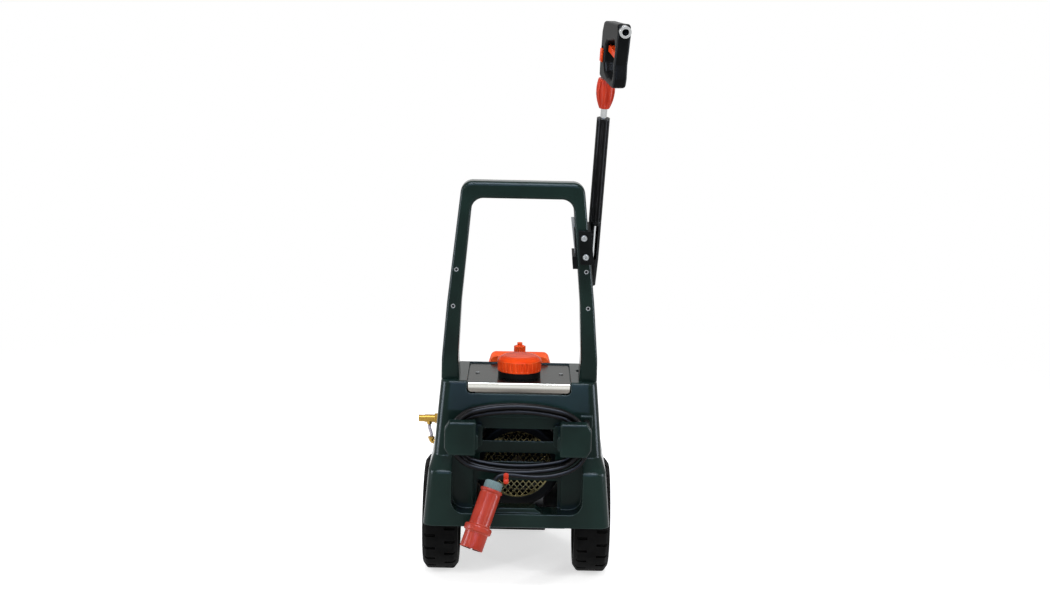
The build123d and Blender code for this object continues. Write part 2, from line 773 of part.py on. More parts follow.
def handle_form():
    top = DECK + HANDLE_HEIGHT
    outline = handle_outline(HANDLE_OUTSIDE, top, HANDLE_CORNER)
    outline -= handle_outline(HANDLE_INSIDE, top - HANDLE_BAR, HANDLE_CORNER)
    front_view = extrude(Plane.XZ * outline, HANDLE_HEIGHT, both=True)
    side_points = (
        (HANDLE_BASE_REAR, DECK), (HANDLE_BASE_FRONT, DECK),
        (HANDLE_TOP_FRONT, top), (HANDLE_TOP_REAR, top),
    )
    side_view = extrude(Plane.YZ * make_face(Polyline(*side_points, close=True)), DECK_WIDTH, both=True)
    arch = front_view & side_view
    base = level_edges(arch, DECK)
    return fillet([edge for edge in arch.edges() if edge not in base], HANDLE_EDGE)


def insert_places():
    return [(side * x, along) for x, along in INSERT_PLACES for side in (-1, 1)]


def handle_arch():
    arch = handle_form()
    for x, along in insert_places():
        arch -= ARM_REAR * rod((x, along, -INSERT_LENGTH), (x, along, WALL), INSERT_DIAMETER)
    for y in HANDLE_BOLT_Y:
        arch -= both_sides(upright(HANDLE_BOLT_X, y, DECK - WALL, bolt_end(), HANDLE_BOLT_DIAMETER))
    return arch - holder_screw_holes(HOLDER_SCREW_DIAMETER)


def handle_inserts():
    inserts = []
    for x, along in insert_places():
        sleeve = rod((x, along, -INSERT_LENGTH), (x, along, 0), INSERT_DIAMETER)
        sleeve -= rod((x, along, -INSERT_LENGTH), (x, along, 0), INSERT_BORE)
        inserts.append(ARM_REAR * sleeve)
    return inserts


def bolt_end():
    return DECK - DECK_THICKNESS + HANDLE_BOLT_LENGTH


def handle_bolts():
    bolts = []
    for y in HANDLE_BOLT_Y:
        for x in (-HANDLE_BOLT_X, HANDLE_BOLT_X):
            under = DECK - DECK_THICKNESS
            head = hexagon((x, y, under - BOLT_HEAD_HEIGHT), (x, y, under), BOLT_HEAD_FLATS)
            bolts.append(head + upright(x, y, under, bolt_end(), HANDLE_BOLT_DIAMETER))
    return bolts


# Front cover
def cover_half_width(height):
    """Half width of the body at a height, where the cover meets it."""
    levels = (
        (SKIRT_BOTTOM, SKIRT_WIDTH), (BUMPER_TOP, BUMPER_WIDTH), (LEDGE, LEDGE_WIDTH),
        (CREASE, CREASE_WIDTH), (DECK, DECK_WIDTH),
    )
    for (low, wide), (high, narrow) in zip(levels, levels[1:]):
        if height <= high:
            return (wide + (narrow - wide) * (height - low) / (high - low)) / 2
    return DECK_WIDTH / 2


def cover_section(y, share, top, inset):
    """The body's outline at a place along Y, drawn in towards the front."""
    heights = (COVER_BOTTOM, BUMPER_TOP, LEDGE, top)
    points = [(cover_half_width(height) * share - inset, height) for height in heights]
    points[0] = (points[0][0], COVER_BOTTOM - inset)
    points[-1] = (points[-1][0], top - inset)
    outline = make_face(Polyline(*mirrored(points), close=True))
    return facing_rear(y) * outline


def cover_form(inset):
    sections = [
        cover_section(BODY_FRONT, 1, deck_height(BODY_FRONT), inset),
        cover_section(COVER_BEND, COVER_BEND_SHARE, deck_height(COVER_BEND), inset),
        cover_section(NOSE - inset, NOSE_SHARE, NOSE_TOP, inset),
    ]
    return loft(sections, ruled=True)


def louvres():
    slots = []
    for count in range(LOUVRES):
        height = SHAFT + LOUVRE_RISE + (count - (LOUVRES - 1) / 2) * LOUVRE_PITCH
        outline = RectangleRounded(LOUVRE_WIDTH, LOUVRE_HEIGHT, LOUVRE_HEIGHT / 2 - FREE_GAP)
        slots.append(facing_rear(NOSE + WALL, height) * extrude(outline, 4 * WALL))
    return slots


def screw_seats():
    """Flat seats and holes for the cover's side screws."""
    seats = []
    for height in COVER_SCREW_HEIGHTS:
        seat = cover_half_width(height) - WALL
        cut = across(seat, seat + 4 * WALL, COVER_SCREW_Y, height, SCREW_HEAD_DIAMETER + 2 * LOOSE_GAP)
        pad = across(seat - WALL, seat, COVER_SCREW_Y, height, SCREW_HEAD_DIAMETER + 2 * WALL)
        hole = across(seat - 2 * WALL, seat + WALL, COVER_SCREW_Y, height, SCREW_DIAMETER + 2 * FREE_GAP)
        seats.append((both_sides(pad), both_sides(cut + hole)))
    return seats


def front_cover():
    outside = cover_form(0)
    nose_edges = [edge for edge in outside.edges() if edge.bounding_box().min.Y > BODY_FRONT + WALL
                  and edge.bounding_box().max.Z > COVER_BOTTOM + WALL]
    cover = fillet(nose_edges, NOSE_RADIUS) - cover_form(WALL)
    for pad, cut in screw_seats():
        cover += pad
        cover -= cut
    cover -= louvres()
    far = 2 * OUTLET_REACH
    cover -= across(-far, 0, HEAD_MIDDLE, OUTLET_HEIGHT, OUTLET_FLATS + 2 * FITTING_ROOM)
    cover -= across(-far, 0, HEAD_MIDDLE, valve_bottom(), HOSE_VALVE_DIAMETER + 2 * FREE_GAP)
    return cover - inlet_rod(HEAD_END, 2 * NOSE, INLET_FLATS + 2 * FITTING_ROOM)


def cover_screws():
    screws = []
    for height in COVER_SCREW_HEIGHTS:
        seat = cover_half_width(height) - WALL
        face = seat + SCREW_HEAD_HEIGHT
        screw = across(seat, face, COVER_SCREW_Y, height, SCREW_HEAD_DIAMETER)
        screw += across(seat - 5 * WALL, seat, COVER_SCREW_Y, height, SCREW_DIAMETER)
        socket_floor = face - SCREW_HEAD_HEIGHT / 2
        screw -= hexagon((socket_floor, COVER_SCREW_Y, height), (face, COVER_SCREW_Y, height), SCREW_SOCKET)
        screws += [screw, mirror(screw, about=Plane.YZ)]
    return screws


# Base tray and foot
def base_tray():
    half = ARCH_INNER_FACE - KEEL_THICKNESS - TRAY_SIDE_GAP
    floor = block((-half, half), (TRAY_REAR, TRAY_FRONT), (TRAY_BOTTOM, TRAY_TOP))
    flange_heights = (TRAY_BOTTOM, TRAY_BOTTOM + TRAY_FLANGE)
    flange = block((half - TRAY_THICKNESS, half), (TRAY_REAR, TRAY_FRONT), flange_heights)
    leg_half = FOOT_WIDTH / 2
    front = FOOT_REAR + FOOT_LENGTH
    leg = block((-leg_half, leg_half), (front - TRAY_THICKNESS, front), (FOOT_HEIGHT, TRAY_TOP))
    toe = block((-leg_half, leg_half), (FOOT_REAR, front), (FOOT_HEIGHT, FOOT_HEIGHT + TRAY_THICKNESS))
    gusset_points = (
        (front, FOOT_HEIGHT), (FOOT_REAR, FOOT_HEIGHT),
        (FOOT_REAR - FOOT_LENGTH, TRAY_TOP), (front, TRAY_TOP),
    )
    gusset_face = Plane.YZ * make_face(Polyline(*gusset_points, close=True))
    gusset = Pos(leg_half - TRAY_THICKNESS, 0, 0) * extrude(gusset_face, TRAY_THICKNESS)
    tray = floor + both_sides(flange) + leg + toe + both_sides(gusset)
    return tray - across(-half, half, 0, AXLE_HEIGHT, AXLE_DIAMETER + 2 * FREE_GAP)


def front_foot():
    half = FOOT_WIDTH / 2
    pad = block((-half, half), (FOOT_REAR, FOOT_REAR + FOOT_LENGTH), (0, FOOT_HEIGHT))
    return chamfer(level_edges(pad, 0), WALL / 2)


# Motor and fan
def shaft_rod(start, end, diameter):
    return rod((0, start, SHAFT), (0, end, SHAFT), diameter)


def motor_housing():
    end = MOTOR_REAR + MOTOR_LENGTH
    inside = MOTOR_DIAMETER - 2 * MOTOR_WALL
    drum = shaft_rod(MOTOR_REAR, end, MOTOR_DIAMETER)
    fin = block((-FIN_THICKNESS / 2, FIN_THICKNESS / 2), (MOTOR_REAR + COWL_WALL * 4, end),
                (0, MOTOR_DIAMETER / 2 + FIN_HEIGHT))
    for count in range(MOTOR_FINS):
        drum += Pos(0, 0, SHAFT) * (Rot(0, 360 * (count + 0.5) / MOTOR_FINS, 0) * fin)
    middle = MOTOR_REAR + MOTOR_LENGTH / 2
    foot = Pos(MOTOR_FOOT_SPREAD, middle, (TRAY_TOP + SHAFT) / 2)
    foot *= Box(MOTOR_FOOT_WIDTH, MOTOR_FOOT_LENGTH, SHAFT - TRAY_TOP)
    drum += both_sides(foot)
    drum -= shaft_rod(MOTOR_REAR + MOTOR_WALL, end, inside)
    boss_end = MOTOR_REAR + BEARING_WIDTH + MOTOR_WALL / 2
    drum += shaft_rod(MOTOR_REAR, boss_end, BEARING_DIAMETER + 2 * MOTOR_WALL)
    drum -= shaft_rod(MOTOR_REAR + MOTOR_WALL / 2, end, BEARING_DIAMETER)
    return drum - shaft_rod(MOTOR_REAR - WALL, end, SHAFT_DIAMETER + 2 * LOOSE_GAP)


def stator_start():
    return MOTOR_REAR + (MOTOR_LENGTH - STATOR_LENGTH) / 2


def motor_stator():
    start = stator_start()
    outside = MOTOR_DIAMETER - 2 * MOTOR_WALL
    ring = shaft_rod(start, start + STATOR_LENGTH, outside)
    return ring - shaft_rod(start, start + STATOR_LENGTH, outside - 2 * STATOR_WALL)


def bearing_starts():
    return (MOTOR_REAR + MOTOR_WALL / 2, PUMP_START - BEARING_WIDTH)


def motor_bearings():
    rings = []
    for start in bearing_starts():
        ring = shaft_rod(start, start + BEARING_WIDTH, BEARING_DIAMETER)
        rings.append(ring - shaft_rod(start, start + BEARING_WIDTH, SHAFT_DIAMETER + 2 * RUNNING_FIT))
    return rings


def fan_start():
    return MOTOR_REAR - FAN_GAP - FAN_LENGTH


def swash_rise():
    return SWASH_DIAMETER / 2 * math.tan(math.radians(SWASH_TILT))


def swash_middle():
    return PUMP_START + CRANKCASE_FLANGE + swash_rise() + SWASH_THICKNESS


def motor_rotor():
    start = stator_start()
    core = MOTOR_DIAMETER - 2 * MOTOR_WALL - 2 * STATOR_WALL - 2 * AIR_GAP
    shaft = shaft_rod(fan_start(), swash_middle(), SHAFT_DIAMETER)
    return shaft + shaft_rod(start, start + STATOR_LENGTH, core)


def cooling_fan():
    start = fan_start()
    hub = shaft_rod(start, start + FAN_LENGTH, SHAFT_DIAMETER * 2)
    plate = shaft_rod(start + FAN_LENGTH - COWL_WALL, start + FAN_LENGTH, FAN_DIAMETER)
    fan = hub + plate
    blade = block((-COWL_WALL / 2, COWL_WALL / 2), (start, start + FAN_LENGTH),
                  (SHAFT_DIAMETER / 2 + WALL, FAN_DIAMETER / 2))
    for count in range(FAN_BLADES):
        fan += Pos(0, 0, SHAFT) * (Rot(0, 360 * count / FAN_BLADES, 0) * blade)
    return fan - shaft_rod(start - WALL, start + FAN_LENGTH + WALL, SHAFT_DIAMETER)


def cowl_rear():
    return MOTOR_REAR + COWL_WALL * 3 - COWL_LENGTH


def fan_cowl():
    rear = cowl_rear()
    end = rear + COWL_LENGTH
    cup = shaft_rod(rear, end, COWL_DIAMETER)
    cup = fillet(cup.faces().sort_by(Axis.Y)[0].edges(), COWL_WALL * 3)
    cup -= shaft_rod(rear + COWL_WALL, end, COWL_DIAMETER - 2 * COWL_WALL)
    seat = shaft_rod(end - COWL_WALL, end, COWL_DIAMETER - COWL_WALL)
    cup += seat - shaft_rod(end - COWL_WALL, end, MOTOR_DIAMETER)
    return cup - shaft_rod(rear - WALL, rear + 2 * WALL, COWL_MOUTH_DIAMETER)


def fan_guard():
    """Expanded metal mesh: one flat face with diamond holes, inside a plain rim."""
    rear = cowl_rear() + COWL_WALL
    radius = COWL_MOUTH_DIAMETER / 2
    half = GUARD_PITCH / 2 - GUARD_STRAND
    wide = half * GUARD_STRETCH
    diamond = make_face(Polyline((wide, 0), (0, half), (-wide, 0), (0, -half), close=True))
    field = Circle(radius - GUARD_RIM)
    rows = int(radius / (GUARD_PITCH / 2)) + 1
    holes = []
    for row in range(-rows, rows + 1):
        for column in range(-rows, rows + 1):
            x = (column + (row % 2) / 2) * GUARD_PITCH * GUARD_STRETCH
            z = row * GUARD_PITCH / 2
            if math.hypot(x, z) < radius - GUARD_RIM:
                holes.append(field & Pos(x, z, 0) * diamond)
    mesh = Circle(radius + GUARD_SEAT) - holes
    return facing_rear(rear + GUARD_THICKNESS, SHAFT) * extrude(mesh, GUARD_THICKNESS)


# Pump
def pump_crankcase():
    start = PUMP_START
    flange = shaft_rod(start, start + CRANKCASE_FLANGE, MOTOR_DIAMETER)
    case = shaft_rod(start, HEAD_START, CRANKCASE_DIAMETER)
    nose = shaft_rod(start - BEARING_WIDTH, start, BEARING_DIAMETER + 2 * MOTOR_WALL)
    hollow = shaft_rod(start + CRANKCASE_FLANGE, HEAD_START, CRANKCASE_DIAMETER - 2 * MOTOR_WALL)
    seat = shaft_rod(start - BEARING_WIDTH, start, BEARING_DIAMETER)
    bore = shaft_rod(start - BEARING_WIDTH, HEAD_START, SHAFT_DIAMETER + 2 * LOOSE_GAP)
    return flange + case + nose - hollow - seat - bore


def swash_plate():
    middle = swash_middle()
    disc = Cylinder(SWASH_DIAMETER / 2, SWASH_THICKNESS)
    disc = Pos(0, middle, SHAFT) * (Rot(90 + SWASH_TILT, 0, 0) * disc)
    return disc - shaft_rod(0, middle, SHAFT_DIAMETER)


def plunger_places():
    turn = 360 / PLUNGER_COUNT
    spots = []
    for count in range(PLUNGER_COUNT):
        angle = math.radians(90 + count * turn)
        spots.append((PLUNGER_CIRCLE / 2 * math.cos(angle), SHAFT + PLUNGER_CIRCLE / 2 * math.sin(angle)))
    return spots


def plunger_start():
    return swash_middle() + swash_rise() + SWASH_THICKNESS / 2 + LOOSE_GAP


def pump_plungers():
    start = plunger_start()
    return [rod((x, start, z), (x, start + PLUNGER_LENGTH, z), PLUNGER_DIAMETER) for x, z in plunger_places()]


def pump_head():
    half = PUMP_HEAD_WIDTH / 2
    head = block((-half, half), (HEAD_START, HEAD_END), (SHAFT - half, SHAFT + half))
    head = chamfer(head.edges().filter_by(Axis.Y), 2 * WALL)
    barrel = PLUNGER_DIAMETER + 2 * RUNNING_FIT
    for x, z in plunger_places():
        head += hexagon((x, HEAD_END, z), (x, HEAD_END + VALVE_PLUG_HEIGHT, z), VALVE_PLUG_FLATS)
        head -= rod((x, HEAD_START, z), (x, plunger_start() + PLUNGER_LENGTH + LOOSE_GAP, z), barrel)
    return head - across(-half - WALL, -half + 2 * WALL, HEAD_MIDDLE, OUTLET_HEIGHT, OUTLET_NECK_DIAMETER)


def unloader_valve():
    base = SHAFT + PUMP_HEAD_WIDTH / 2
    shoulder = base + UNLOADER_BODY_HEIGHT
    neck = shoulder + UNLOADER_CAP_HEIGHT
    body = upright(0, HEAD_MIDDLE, base, shoulder, UNLOADER_DIAMETER)
    cap = hexagon((0, HEAD_MIDDLE, shoulder), (0, HEAD_MIDDLE, neck), UNLOADER_CAP_FLATS)
    stem = upright(0, HEAD_MIDDLE, neck, neck + UNLOADER_STEM_HEIGHT, UNLOADER_STEM_DIAMETER)
    return body + cap + stem


# Water fittings
def inlet_height():
    return SHAFT - INLET_DROP


def inlet_rod(start, end, diameter):
    return rod((INLET_X, start, inlet_height()), (INLET_X, end, inlet_height()), diameter)


def water_inlet():
    """A pipe from the pump head's front, stepped aside to the inlet thread in the nose."""
    height = inlet_height()
    end = NOSE + INLET_REACH
    thread_start = end - INLET_THREAD_LENGTH
    turn = HEAD_END + 2 * WALL + INLET_TAIL_DIAMETER / 2
    side = INLET_X + INLET_OFFSET
    thread = inlet_rod(thread_start, end, INLET_THREAD_DIAMETER)
    flats = hexagon((INLET_X, NOSE - 3 * WALL, height), (INLET_X, thread_start, height), INLET_FLATS)
    tail = inlet_rod(HEAD_END + 2 * WALL, NOSE - 3 * WALL, INLET_TAIL_DIAMETER)
    elbow = across(INLET_X, side, turn, height, INLET_PIPE_DIAMETER)
    spigot = rod((side, HEAD_END, height), (side, turn, height), INLET_PIPE_DIAMETER)
    knee = Pos(side, turn, height) * Sphere(INLET_PIPE_DIAMETER / 2)
    return thread + flats + tail + elbow + spigot + knee - inlet_rod(NOSE - 3 * WALL, end, INLET_BORE)


def outlet_point(reach, drop=0):
    return (-reach, HEAD_MIDDLE, OUTLET_HEIGHT - drop)


def outlet_rod(start, end, diameter):
    return rod(outlet_point(start), outlet_point(end), diameter)


def outlet_injector():
    thread_start = OUTLET_REACH - OUTLET_THREAD_LENGTH
    nut_end = thread_start - INJECTOR_LENGTH
    barb_at = OUTLET_REACH - BARB_FROM_END
    pipe = outlet_rod(PUMP_HEAD_WIDTH / 2 - 2 * WALL, nut_end, OUTLET_NECK_DIAMETER)
    nut = hexagon(outlet_point(nut_end - OUTLET_NUT_LENGTH), outlet_point(nut_end), OUTLET_FLATS)
    injector = outlet_rod(nut_end, thread_start, INJECTOR_DIAMETER)
    thread = outlet_rod(thread_start, OUTLET_REACH, OUTLET_THREAD_DIAMETER)
    boss_end = outlet_point(barb_at, BARB_BOSS_DROP)
    boss = rod(outlet_point(barb_at), boss_end, INJECTOR_DIAMETER, BARB_BOSS_DIAMETER)
    barb = rod(boss_end, outlet_point(barb_at, BARB_BOSS_DROP + BARB_LENGTH), HOSE_BORE - 2 * FREE_GAP)
    body = pipe + nut + injector + thread + boss + barb
    return body - outlet_rod(thread_start, OUTLET_REACH, OUTLET_BORE)


def valve_bottom():
    return OUTLET_HEIGHT - HOSE_VALVE_DROP


def valve_top():
    return valve_bottom() + HOSE_VALVE_HEIGHT


def valve_reach():
    return OUTLET_REACH - BARB_FROM_END - VALVE_INSET


def hose_valve():
    """Small brass valve that stands on an elbow from the cover's side."""
    place = -valve_reach()
    bottom = valve_bottom()
    top = valve_top()
    corner = (place, HEAD_MIDDLE, bottom)
    pipe_end = (place + HOSE_VALVE_PIPE, HEAD_MIDDLE, bottom)
    bend = HOSE_VALVE_DIAMETER / 2 + HOSE_VALVE_INNER_BEND
    path = FilletPolyline((place, HEAD_MIDDLE, top), corner, pipe_end, radius=bend)
    nut_start = top - HOSE_VALVE_NUT
    nut = hexagon((place, HEAD_MIDDLE, nut_start), (place, HEAD_MIDDLE, top), HOSE_VALVE_FLATS)
    barb = upright(place, HEAD_MIDDLE, nut_start, top + BARB_LENGTH, HOSE_BORE - 2 * FREE_GAP)
    return round_sweep(path, HOSE_VALVE_DIAMETER) + nut + barb


def suction_hose():
    """Clear hose from the injector's barb, set over to the valve's barb."""
    barb_at = OUTLET_REACH - BARB_FROM_END
    valve = (-valve_reach(), HEAD_MIDDLE)
    route = (
        outlet_point(barb_at, BARB_BOSS_DROP),
        outlet_point(barb_at, BARB_BOSS_DROP + HOSE_STRAIGHT),
        (*valve, valve_top() + HOSE_STRAIGHT),
        (*valve, valve_top()),
    )
    path = FilletPolyline(*route, radius=route_radii(route))
    return round_sweep(path, HOSE_DIAMETER) - round_sweep(path, HOSE_BORE)


# Top plate, tank and cap
def plate_space():
    """The shallow step in the deck and rear wall that the steel plate lies in."""
    front = PLATE_FRONT + PLATE_GAP
    bottom = PLATE_TOP - PLATE_LIP - PLATE_GAP
    far = 2 * BUMPER_REAR
    points = ((far, bottom), (lip_inner_face(), bottom), (lip_inner_face(), PLATE_SEAT),
              (front, PLATE_SEAT), (front, 2 * DECK), (far, 2 * DECK))
    return plate_strip(bent(points, inner_bend(), PLATE_BEND - PLATE_THICKNESS), PLATE_GAP)


def lip_inner_face():
    return DECK_REAR + PLATE_THICKNESS


def inner_bend():
    return (lip_inner_face(), PLATE_SEAT)


def bent(points, corner, radius):
    """A side outline with one corner rounded."""
    face = make_face(Polyline(*points, close=True))
    return fillet(face.vertices().sort_by_distance(corner)[0], radius)


def plate_strip(outline, gap):
    """A side outline carried across the plate, with round lower corners seen from the rear."""
    bottom = PLATE_TOP - PLATE_LIP - gap
    width = PLATE_WIDTH + 2 * gap
    window = RectangleRounded(width, DECK, PLATE_LIP_CORNER + gap)
    reach = NOSE - 2 * BUMPER_REAR
    strip = extrude(Plane.YZ * outline, width / 2, both=True)
    return strip & facing_rear(NOSE, bottom + DECK / 2) * extrude(window, reach)


def top_plate():
    bottom = PLATE_TOP - PLATE_LIP
    points = ((DECK_REAR, bottom), (lip_inner_face(), bottom), (lip_inner_face(), PLATE_SEAT),
              (PLATE_FRONT, PLATE_SEAT), (PLATE_FRONT, PLATE_TOP), (DECK_REAR, PLATE_TOP))
    outline = bent(points, inner_bend(), PLATE_BEND - PLATE_THICKNESS)
    outline = fillet(outline.vertices().sort_by_distance((DECK_REAR, PLATE_TOP))[0], PLATE_BEND)
    plate = plate_strip(outline, 0)
    plate -= upright(0, FILLER_Y, 0, 2 * DECK, NECK_DIAMETER + 2 * LOOSE_GAP)
    return plate - both_sides(plate_screw_rod(0, 2 * DECK, SCREW_DIAMETER + 2 * FREE_GAP))


def plate_screw_rod(low, high, diameter):
    return upright(PLATE_SCREW_SPREAD / 2, PLATE_SCREW_Y, low, high, diameter)


def plate_screws():
    top = PLATE_TOP + PLATE_SCREW_HEAD_HEIGHT
    screw = plate_screw_rod(PLATE_TOP, top, PLATE_SCREW_HEAD_DIAMETER)
    screw += plate_screw_rod(PLATE_SEAT - 2 * DECK_THICKNESS, PLATE_TOP, SCREW_DIAMETER)
    place = (PLATE_SCREW_SPREAD / 2, PLATE_SCREW_Y)
    screw -= hexagon((*place, PLATE_TOP), (*place, top), SCREW_SOCKET)
    return [screw, mirror(screw, about=Plane.YZ)]


def screw_lug(grow, low, high, outer):
    """The lug under a plate screw and its web to the deck, or the room they take."""
    half = SCREW_DIAMETER + grow
    web = block((PLATE_SCREW_SPREAD / 2, outer), (PLATE_SCREW_Y - half, PLATE_SCREW_Y + half), (low, high))
    return both_sides(web + plate_screw_rod(low, high, PLATE_LUG_DIAMETER + 2 * grow))


def tank_opening():
    half = TANK_WIDTH / 2 + LOOSE_GAP
    depths = (DECK - 2 * DECK_THICKNESS, 2 * DECK)
    hole = block((-half, half), (TANK_REAR - LOOSE_GAP, TANK_FRONT + LOOSE_GAP), depths)
    return hole - screw_lug(0, PLATE_SEAT - 2 * DECK_THICKNESS, PLATE_SEAT, half + WALL)


def detergent_tank():
    bottom = PLATE_SEAT - TANK_DEPTH
    half = TANK_WIDTH / 2
    outside = block((-half, half), (TANK_REAR, TANK_FRONT), (bottom, PLATE_SEAT))
    outside = fillet(outside.edges().filter_by(Axis.Z), 4 * WALL)
    hollow = block((-half + TANK_WALL, half - TANK_WALL), (TANK_REAR + TANK_WALL, TANK_FRONT - TANK_WALL),
                   (bottom + TANK_WALL, PLATE_SEAT - TANK_WALL))
    notch_floor = PLATE_SEAT - 4 * DECK_THICKNESS
    notch = screw_lug(LOOSE_GAP, notch_floor, DECK, SKIRT_WIDTH)
    wall = screw_lug(LOOSE_GAP + TANK_WALL, notch_floor - TANK_WALL, DECK, SKIRT_WIDTH)
    tank = outside - (hollow - wall) - notch
    tank += upright(0, FILLER_Y, PLATE_SEAT - TANK_WALL, neck_top(), NECK_DIAMETER)
    return tank - upright(0, FILLER_Y, PLATE_SEAT - TANK_WALL - WALL, 2 * DECK, NECK_DIAMETER - 2 * NECK_WALL)


def tank_neck_ring():
    start = (0, FILLER_Y, PLATE_TOP)
    end = (0, FILLER_Y, PLATE_TOP + CAP_ABOVE_PLATE - LOOSE_GAP)
    return rod(start, end, NECK_DIAMETER + 2 * NECK_RING_WALL) - rod(start, end, NECK_DIAMETER)


def neck_top():
    return PLATE_SEAT + NECK_HEIGHT


def cap_seal():
    start = (0, FILLER_Y, neck_top() + FREE_GAP)
    end = (0, FILLER_Y, neck_top() + FREE_GAP + SEAL_THICKNESS)
    return rod(start, end, NECK_DIAMETER) - rod(start, end, NECK_DIAMETER - 4 * NECK_WALL)


def tank_cap():
    """Ribbed skirt between a plain bead and a domed shoulder."""
    bottom = PLATE_TOP + CAP_ABOVE_PLATE
    top = bottom + CAP_HEIGHT
    shoulder = bottom + CAP_SKIRT
    radius = CAP_DIAMETER / 2
    flat = CAP_TOP_DIAMETER / 2
    dome = TangentArc((flat, top), (radius, shoulder), tangent=(1, 0))
    sides = Polyline((flat, top), (0, top), (0, bottom), (radius, bottom), (radius, shoulder))
    cap = Pos(0, FILLER_Y, 0) * revolve(Plane.XZ * make_face(sides + dome), Axis.Z)
    rib_space = upright(radius + CAP_RIB_DEPTH, FILLER_Y, bottom + CAP_BEAD, shoulder, 4 * CAP_RIB_DEPTH)
    about = Axis((0, FILLER_Y, 0), (0, 0, 1))
    cap -= [rib_space.rotate(about, 360 * count / CAP_RIBS) for count in range(CAP_RIBS)]
    inside_top = neck_top() + FREE_GAP + SEAL_THICKNESS + FREE_GAP
    return cap - rod((0, FILLER_Y, bottom), (0, FILLER_Y, inside_top), NECK_DIAMETER + 2 * CAP_WALL)


# Control hood, knob and switch
def hood_form(inset):
    """The hood's outside, or its hollow when inset by the wall."""
    front = HOOD_REAR + HOOD_LENGTH
    bottom = deck_height(front)
    half = HOOD_WIDTH / 2 - inset
    points = [(half, bottom), (half - HOOD_TAPER, DECK + HOOD_TOP - inset)]
    face = make_face(Polyline(*mirrored(points), close=True))
    face = fillet([v for v in face.vertices() if v.Y > DECK], HOOD_CORNER - inset)
    return facing_rear(front - inset) * extrude(face, HOOD_LENGTH - 2 * inset)


def control_hood():
    hood = (hood_form(0) - hood_form(HOOD_WALL)) & fall_space(0)
    stem_y = HOOD_REAR + KNOB_SETBACK
    hood -= upright(0, stem_y, DECK, 2 * DECK, KNOB_STEM_DIAMETER + 2 * RUNNING_FIT)
    height = switch_height()
    stem_hole = SWITCH_STEM_DIAMETER + 2 * RUNNING_FIT
    return hood - rod((0, HOOD_REAR + HOOD_LENGTH / 2, height), (0, 2 * NOSE, height), stem_hole)


def hood_openings():
    """Way through the deck under the hood for the knob's stem and the switch's wires."""
    half = HOOD_WIDTH / 2 - 4 * HOOD_WALL
    front = HOOD_REAR + HOOD_LENGTH - 2 * HOOD_WALL
    bottom = deck_height(front) - 2 * DECK_THICKNESS
    return block((-half, half), (HOOD_REAR + 2 * HOOD_WALL, front), (bottom, 2 * DECK))


def switch_height():
    return (deck_height(HOOD_REAR + HOOD_LENGTH) + DECK + HOOD_TOP) / 2


def pressure_knob():
    stem_y = HOOD_REAR + KNOB_SETBACK
    base = DECK + HOOD_TOP + FREE_GAP
    top = base + KNOB_HEIGHT
    knob = upright(0, stem_y, base, top, KNOB_DIAMETER)
    flute = upright(KNOB_DIAMETER / 2, stem_y, base, top, KNOB_FLUTE_DIAMETER)
    about = Axis((0, stem_y, 0), (0, 0, 1))
    knob -= [flute.rotate(about, 360 * (count + 0.5) / KNOB_FLUTES) for count in range(KNOB_FLUTES)]
    knob += upright(0, stem_y, top, top + KNOB_TIP_HEIGHT, KNOB_TIP_DIAMETER)
    return knob + upright(0, stem_y, DECK - 2 * DECK_THICKNESS, base, KNOB_STEM_DIAMETER)


def switch_knob():
    face = HOOD_REAR + HOOD_LENGTH
    height = switch_height()
    half = SWITCH_DIAMETER / 2
    dial = rod((0, face + FREE_GAP, height), (0, face + SWITCH_DIAL_HEIGHT, height), SWITCH_DIAMETER)
    grip = block((-SWITCH_GRIP_WIDTH / 2, SWITCH_GRIP_WIDTH / 2), (face + FREE_GAP, face + SWITCH_HEIGHT),
                 (height - half, height + half))
    stem = rod((0, face - 4 * HOOD_WALL, height), (0, face + FREE_GAP, height), SWITCH_STEM_DIAMETER)
    return dial + grip + stem


# Cord hooks
def hook_height():
    return LEDGE + HOOK_ABOVE_LEDGE


def hook_neck(start, end, grow):
    outline = RectangleRounded(HOOK_NECK_WIDTH + 2 * grow, HOOK_NECK_HEIGHT + 2 * grow, HOOK_NECK_WIDTH / 3)
    return Pos(HOOK_NECK_X, 0, 0) * (facing_rear(end, COIL_CENTRE) * extrude(outline, end - start))


def hook_seat():
    return both_sides(hook_neck(HOOK_SEAT, RECESS_BACK + 3 * WALL, 2 * WALL))


def cord_hook(side):
    half = HOOK_HEIGHT / 2
    inner = HOOK_X - HOOK_WIDTH / 2
    outer = HOOK_X + HOOK_WIDTH / 2
    lower = [(inner, -half), (outer - HOOK_CHAMFER_WIDTH, -half), (outer, HOOK_CHAMFER - half)]
    points = lower + [(x, -z) for x, z in reversed(lower)]
    outline = make_face(Polyline(*points, close=True))
    flange = facing_rear(HOOK_FACE + HOOK_FLANGE, hook_height()) * extrude(outline, HOOK_FLANGE)
    flange = fillet(flange.edges().filter_by(Axis.Y), HOOK_EDGE)
    flange = fillet(flange.faces().sort_by(Axis.Y)[0].edges(), HOOK_EDGE)
    hook = flange + hook_neck(HOOK_FACE + HOOK_FLANGE / 2, HOOK_SEAT, 0)
    return hook if side > 0 else mirror(hook, about=Plane.YZ)


# Cord: an unbroken coil over the two hooks, a tail to the plug
def coil_inset(quarter):
    """How far a quarter's end lies inside the outermost turn: in, out, in and out again."""
    wound = (quarter - COIL_FIRST) % (2 * COIL_LAYER_QUARTERS)
    return min(wound, 2 * COIL_LAYER_QUARTERS - wound) * COIL_STEP / 4


